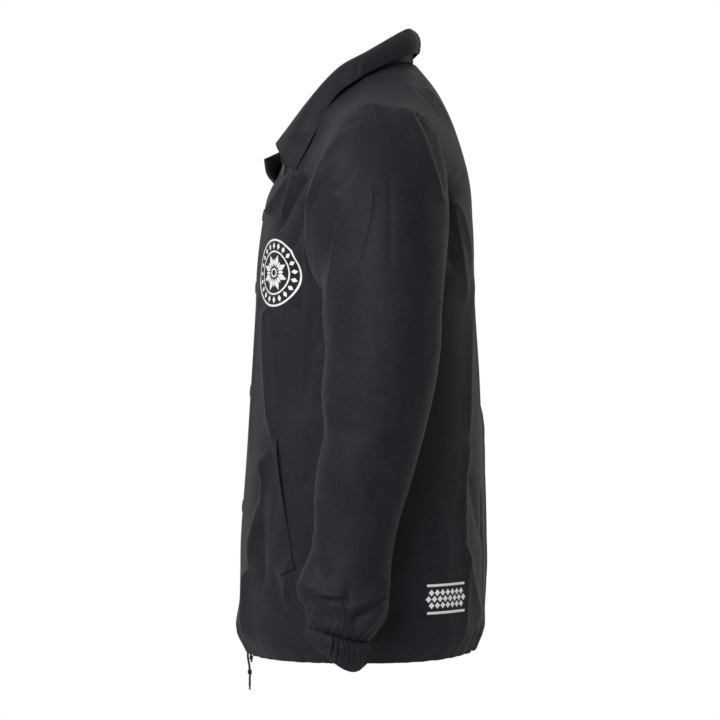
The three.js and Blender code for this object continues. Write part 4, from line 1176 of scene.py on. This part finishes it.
def overhand_knot(name, centre, yarn, size=1.0):
    """A pulled-tight overhand knot: a trefoil curve squeezed along the cord, thickened to a tube."""
    count, sides = 96, 14
    t = np.linspace(0, 2 * np.pi, count + 1)[:-1]
    x = 1.15 * (np.sin(t) + 1.35 * np.sin(2 * t))
    y = 1.15 * (np.cos(t) - 1.35 * np.cos(2 * t))
    z = -1.7 * np.sin(3 * t)
    path = np.stack([x, y, z], -1)[:, [0, 2, 1]] * (0.78, 0.78, 0.95) * size + centre
    ahead = unit(np.roll(path, -1, 0) - np.roll(path, 1, 0))
    side = unit(np.cross(ahead, unit(path - centre) + 0.01))
    points = path[:, None] + 1.35 * size * circles(side, np.cross(ahead, side), round_angles(sides))
    wrap = quads_of((2, sides), True, False)
    wrap = np.where(wrap < sides, wrap + (count - 1) * sides, wrap - sides)
    faces = np.concatenate([quads_of(points.shape[:2], True, False), wrap])
    return new_mesh(name, points.reshape(-1, 3) * MM, faces, yarn)


def frayed_tip(name, place, yarn):
    """Loose yarn ends: a small bundle of thin bent strands that spread below the cord's tip."""
    strands = []
    for k in range(15):
        out = np.array([np.cos(2.4 * k), np.sin(2.4 * k), 0]) * (0.25 + 0.085 * k)
        length = 3.6 + 1.5 * np.sin(1.9 * k)
        path = [place + out * 0.4 + (0, 0, 1), place + out * 0.8 + (0, 0, -0.4 * length),
                place + out * 1.5 + (0, 0, -length)]
        strands.append(tube(smooth_path(path, 6), 0.2, 5))
    vertices, faces = joined(strands)
    return new_mesh(name, vertices * MM, faces, yarn)


def linear(hex_colour):
    """An sRGB hex colour as linear red, green, blue and alpha."""
    channels = np.array([int(hex_colour[k:k + 2], 16) for k in (1, 3, 5)]) / 255
    low = channels / 12.92
    high = ((channels + 0.055) / 1.055) ** 2.4
    return (*np.where(channels <= 0.04045, low, high), 1.0)


def add_node(tree, kind, links=(), **settings):
    """Adds a node; settings name its properties or input sockets, links join (output, input name)."""
    node = tree.nodes.new(kind)
    for name, value in settings.items():
        title = name.replace("_", " ").title()
        if hasattr(node, name):
            setattr(node, name, value)
        else:
            node.inputs[title].default_value = value
    for output, name in links:
        tree.links.new(output, node.inputs[name])
    return node


def new_material(name, settings):
    """A node material whose Principled shader has the given inputs, as (material, tree, shader)."""
    material = bpy.data.materials.new(name)
    material.use_nodes = True
    shader = material.node_tree.nodes["Principled BSDF"]
    for socket, value in settings.items():
        shader.inputs[socket].default_value = value
    return material, material.node_tree, shader


def woven_nylon(name, light, dark, roughness, thread_mm, crumple):
    """Calendered plain-weave nylon: near-black, a soft sheen, faint slubs and fine crumples."""
    _, tree, shader = new_material(name, {
        "Roughness": roughness, "IOR": 1.5, "Specular IOR Level": 0.1, "Sheen Weight": 0.07,
        "Sheen Roughness": 0.55, "Sheen Tint": linear("#8d8c96")})
    place = add_node(tree, "ShaderNodeTexCoord")
    uv = add_node(tree, "ShaderNodeUVMap", uv_map="cloth")
    mottle = add_node(tree, "ShaderNodeTexNoise", [(place.outputs["Object"], "Vector")], scale=38, detail=5)
    slubs = add_node(tree, "ShaderNodeMapping", [(uv.outputs["UV"], "Vector")], scale=(1, 0.22, 1))
    grain = add_node(tree, "ShaderNodeTexNoise", [(slubs.outputs["Vector"], "Vector")], scale=760, detail=3)
    blend = add_node(tree, "ShaderNodeMix", [(mottle.outputs["Fac"], "A"), (grain.outputs["Fac"], "B")],
                     factor=0.65)
    ramp = add_node(tree, "ShaderNodeValToRGB", [(blend.outputs["Result"], "Fac")])
    for element, position, colour in zip(ramp.color_ramp.elements, (0.3, 0.7), (dark, light)):
        element.position = position
        element.color = linear(colour)
    tree.links.new(ramp.outputs["Color"], shader.inputs["Base Color"])
    # Threads are 0.2 mm apart on the real cloth, too fine for the render, so they are drawn this coarse
    threads = [
        add_node(tree, "ShaderNodeTexWave", [(uv.outputs["UV"], "Vector")], bands_direction=direction,
                 scale=0.314 / (thread_mm * MM), distortion=0.6, detail=1)
        for direction in ("X", "Y")]
    weave = add_node(tree, "ShaderNodeMath", [(threads[0].outputs["Fac"], 0), (threads[1].outputs["Fac"], 1)],
                     operation="MULTIPLY")
    broad = add_node(tree, "ShaderNodeTexNoise", [(place.outputs["Object"], "Vector")], scale=26, detail=3,
                     distortion=0.5)
    small = add_node(tree, "ShaderNodeTexNoise", [(place.outputs["Object"], "Vector")], scale=95, detail=4,
                     distortion=0.8)
    reliefs = ((broad.outputs["Fac"], crumple, 0.0028), (small.outputs["Fac"], crumple, 0.001),
               (weave.outputs["Value"], 0.25, 0.0001))
    below = []
    for height, strength, distance in reliefs:
        bump = add_node(tree, "ShaderNodeBump", [(height, "Height"), *below], strength=strength,
                        distance=distance)
        below = [(bump.outputs["Normal"], "Normal")]
    tree.links.new(bump.outputs["Normal"], shader.inputs["Normal"])


def enamelled_brass(name, colour):
    """Sprayed press-stud brass: satin black enamel with faint wear."""
    _, tree, shader = new_material(name, {"Metallic": 0.2, "Base Color": linear(colour)})
    place = add_node(tree, "ShaderNodeTexCoord")
    wear = add_node(tree, "ShaderNodeTexNoise", [(place.outputs["Object"], "Vector")], scale=420, detail=4)
    ramp = add_node(tree, "ShaderNodeMapRange", [(wear.outputs["Fac"], "Value")], to_min=0.28, to_max=0.46)
    tree.links.new(ramp.outputs["Result"], shader.inputs["Roughness"])
    bump = add_node(tree, "ShaderNodeBump", [(wear.outputs["Fac"], "Height")], strength=0.2, distance=0.0001)
    tree.links.new(bump.outputs["Normal"], shader.inputs["Normal"])


def spun_yarn(name, colour, rough):
    """Spun polyester thread and cord: matte with fine fibres."""
    _, tree, shader = new_material(
        name, {"Roughness": rough, "Specular IOR Level": 0.25, "Sheen Weight": 0.3})
    place = add_node(tree, "ShaderNodeTexCoord")
    fibre = add_node(tree, "ShaderNodeTexNoise", [(place.outputs["Object"], "Vector")], scale=1600, detail=3)
    ramp = add_node(tree, "ShaderNodeValToRGB", [(fibre.outputs["Fac"], "Fac")])
    for element, factor in zip(ramp.color_ramp.elements, (0.6, 1.4)):
        element.color = tuple(factor * channel for channel in linear(colour)[:3]) + (1,)
    tree.links.new(ramp.outputs["Color"], shader.inputs["Base Color"])
    bump = add_node(tree, "ShaderNodeBump", [(fibre.outputs["Fac"], "Height")], strength=0.5, distance=0.0002)
    tree.links.new(bump.outputs["Normal"], shader.inputs["Normal"])


def screen_ink(name, colour):
    """Plastisol screen print: opaque white ink with a slight cloth texture and thin spots."""
    _, tree, shader = new_material(name, {"Roughness": 0.55})
    place = add_node(tree, "ShaderNodeTexCoord")
    thin = add_node(tree, "ShaderNodeTexNoise", [(place.outputs["Object"], "Vector")], scale=700, detail=3)
    ramp = add_node(tree, "ShaderNodeValToRGB", [(thin.outputs["Fac"], "Fac")])
    for element, position, tone in zip(ramp.color_ramp.elements, (0.15, 0.38), ("#d6d6d8", colour)):
        element.position = position
        element.color = linear(tone)
    tree.links.new(ramp.outputs["Color"], shader.inputs["Base Color"])


def add_floor():
    """A pale round floor well below the hem."""
    angle = round_angles(96)
    ring = np.stack([3 * np.cos(angle), 3 * np.sin(angle), np.full(96, FLOOR_LEVEL)], -1)
    inner = ring * (0.5, 0.5, 1)
    rows = np.stack([ring, inner, inner * (0.01, 0.01, 1)])
    paint, _, _ = new_material("pale_floor", {"Base Color": linear("#e9e9ea"), "Roughness": 0.8})
    new_mesh("floor", rows.reshape(-1, 3), quads_of(rows.shape[:2], True, False), paint)


def add_room():
    """White surroundings: full white to the camera, dimmer as light on the cloth and in reflections."""
    world = bpy.data.worlds.new("white_room")
    bpy.context.scene.world = world
    world.use_nodes = True
    tree = world.node_tree
    tree.nodes.clear()
    seen = add_node(tree, "ShaderNodeBackground", strength=1.0)
    lit = add_node(tree, "ShaderNodeBackground", strength=ROOM_LIGHT)
    for background in (seen, lit):
        background.inputs["Color"].default_value = (1, 1, 1, 1)
    ray = add_node(tree, "ShaderNodeLightPath")
    white = add_node(tree, "ShaderNodeMath", [(ray.outputs["Is Glossy Ray"], 0),
                                              (ray.outputs["Is Camera Ray"], 2)], operation="MULTIPLY_ADD")
    white.inputs[1].default_value = ROOM_IN_REFLECTIONS
    mix = add_node(tree, "ShaderNodeMixShader", [(white.outputs[0], 0), (lit.outputs[0], 1),
                                                 (seen.outputs[0], 2)])
    add_node(tree, "ShaderNodeOutputWorld", [(mix.outputs[0], "Surface")])


def add_lamps():
    """Square soft lamps, turned to the middle of the jacket."""
    for name, place, power, size in LAMPS:
        lamp = bpy.data.lights.new(name, "AREA")
        lamp.energy = power
        lamp.size = size
        holder = bpy.data.objects.new(name, lamp)
        holder.location = place
        aim = np.array((0, 0, -0.36)) - np.array(place)
        holder.rotation_euler = Vector(aim).to_track_quat("-Z", "Y").to_euler()
        bpy.context.scene.collection.objects.link(holder)


def add_camera(distance, width):
    """A level camera at the photograph's angle: from the wearer's left, square to it."""
    camera = bpy.data.cameras.new("photo_camera")
    camera.sensor_width = 36
    camera.lens = 36 * distance / width
    holder = bpy.data.objects.new("photo_camera", camera)
    holder.location = (distance, 0, -0.3645)
    holder.rotation_euler = (np.pi / 2, 0, np.pi / 2)
    bpy.context.scene.collection.objects.link(holder)
    bpy.context.scene.camera = holder


class JacketSizes(bpy.types.PropertyGroup):
    """Sizes that a user would change."""

    wall: bpy.props.FloatProperty(name="Cloth wall", description="Thickness of the panels' cloth, in mm",
                                  default=1.0, min=0.4, max=3.0)
    camera_distance: bpy.props.FloatProperty(name="Camera distance", description="From the centre plane",
                                             default=3.8, min=1.0, unit="LENGTH")
    view_width: bpy.props.FloatProperty(name="View width", description="Width seen at the centre plane",
                                        default=0.9144, min=0.2, unit="LENGTH")


class JacketFinish(bpy.types.PropertyGroup):
    """Colours and scales of the finishes."""

    cloth_light: bpy.props.StringProperty(name="Cloth, lighter", description="sRGB hex of lighter slubs",
                                          default="#2a292f")
    cloth_dark: bpy.props.StringProperty(name="Cloth, darker", description="sRGB hex of darker slubs",
                                         default="#1b1a20")
    thread: bpy.props.FloatProperty(name="Thread spacing", description="Drawn spacing, in millimetres",
                                    default=0.9, min=0.1, max=4.0)


def finishes():
    """The jacket's materials, made once and kept by name."""
    finish = bpy.context.scene.jacket_finish
    if "nylon_shell" not in bpy.data.materials:
        woven_nylon("nylon_shell", finish.cloth_light, finish.cloth_dark, 0.5, finish.thread, 0.26)
        woven_nylon("nylon_cuff", "#2a2930", "#1d1c22", 0.52, finish.thread, 0.18)
        enamelled_brass("stud_enamel", "#232227")
        spun_yarn("sewing_thread", "#161619", 0.6)
        spun_yarn("cord_yarn", "#161618", 0.85)
        screen_ink("print_ink", "#f6f6f6")
    return bpy.data.materials


class JACKET_OT_stage(bpy.types.Operator):
    """Adds the camera, the floor and the lights"""

    bl_idname = "jacket.stage"
    bl_label = "Stage"

    def execute(self, context):
        sizes = context.scene.jacket_sizes
        add_camera(sizes.camera_distance, sizes.view_width)
        context.scene.view_settings.view_transform = "Standard"
        add_floor()
        add_room()
        add_lamps()
        return {"FINISHED"}


class JACKET_OT_cord(bpy.types.Operator):
    """Adds the hem cord"""

    bl_idname = "jacket.cord"
    bl_label = "Hem cord"

    def execute(self, context):
        make_cord(finishes()["cord_yarn"])
        return {"FINISHED"}


class JACKET_OT_fronts(bpy.types.Operator):
    """Adds both fronts"""

    bl_idname = "jacket.fronts"
    bl_label = "Fronts"

    def execute(self, context):
        pieces = make_fronts(finishes()["nylon_shell"], context.scene.jacket_sizes.wall)
        return {"FINISHED"}


class JACKET_OT_back(bpy.types.Operator):
    """Adds the back"""

    bl_idname = "jacket.back"
    bl_label = "Back"

    def execute(self, context):
        piece = make_back(finishes()["nylon_shell"], context.scene.jacket_sizes.wall)
        return {"FINISHED"}


class JACKET_OT_sleeves(bpy.types.Operator):
    """Adds both sleeves"""

    bl_idname = "jacket.sleeves"
    bl_label = "Sleeves"

    def execute(self, context):
        for piece in make_sleeves(finishes()["nylon_shell"], context.scene.jacket_sizes.wall):
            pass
        return {"FINISHED"}


class JACKET_OT_cuffs(bpy.types.Operator):
    """Adds both elastic cuffs"""

    bl_idname = "jacket.cuffs"
    bl_label = "Cuffs"

    def execute(self, context):
        for piece in make_cuffs(finishes()["nylon_cuff"], context.scene.jacket_sizes.wall):
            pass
        return {"FINISHED"}


class JACKET_OT_collar(bpy.types.Operator):
    """Adds the folded collar"""

    bl_idname = "jacket.collar"
    bl_label = "Collar"

    def execute(self, context):
        piece = make_collar(finishes()["nylon_shell"], context.scene.jacket_sizes.wall)
        return {"FINISHED"}


class JACKET_OT_welts(bpy.types.Operator):
    """Adds the pocket welts"""

    bl_idname = "jacket.welts"
    bl_label = "Pocket welts"

    def execute(self, context):
        for piece in make_welts(finishes()["nylon_shell"], context.scene.jacket_sizes.wall):
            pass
        return {"FINISHED"}


class JACKET_OT_trims(bpy.types.Operator):
    """Adds the press studs, the topstitching and the prints"""

    bl_idname = "jacket.trims"
    bl_label = "Studs, stitching and prints"

    def execute(self, context):
        materials = finishes()
        make_snaps(materials["stud_enamel"])
        make_stitching(materials["sewing_thread"], context.scene.jacket_sizes.wall)
        make_roundel(materials["print_ink"])
        make_hem_block(materials["print_ink"])
        return {"FINISHED"}


class JACKET_PT_panel(bpy.types.Panel):
    """Lists the jacket's pieces and sizes"""

    bl_label = "Coach jacket"
    bl_idname = "JACKET_PT_panel"
    bl_space_type = "VIEW_3D"
    bl_region_type = "UI"
    bl_category = "Jacket"

    def draw(self, context):
        for group in (context.scene.jacket_sizes, context.scene.jacket_finish):
            for name in group.__annotations__:
                self.layout.prop(group, name)
        for operator in OPERATORS:
            self.layout.operator(operator.bl_idname)


OPERATORS = (JACKET_OT_stage, JACKET_OT_cord, JACKET_OT_fronts, JACKET_OT_back, JACKET_OT_sleeves,
             JACKET_OT_cuffs, JACKET_OT_collar, JACKET_OT_welts, JACKET_OT_trims)
CLASSES = (JacketSizes, JacketFinish, *OPERATORS, JACKET_PT_panel)


def register():
    """Registers the classes and hangs their settings on the scene."""
    for item in CLASSES:
        bpy.utils.register_class(item)
    bpy.types.Scene.jacket_sizes = bpy.props.PointerProperty(type=JacketSizes)
    bpy.types.Scene.jacket_finish = bpy.props.PointerProperty(type=JacketFinish)


def unregister():
    """Undoes register."""
    del bpy.types.Scene.jacket_finish
    del bpy.types.Scene.jacket_sizes
    for item in reversed(CLASSES):
        bpy.utils.unregister_class(item)


def main():
    """Builds every piece in order."""
    register()
    for operator in OPERATORS:
        group, name = operator.bl_idname.split(".")
        getattr(getattr(bpy.ops, group), name)()


if __name__ == "__main__":
    main()
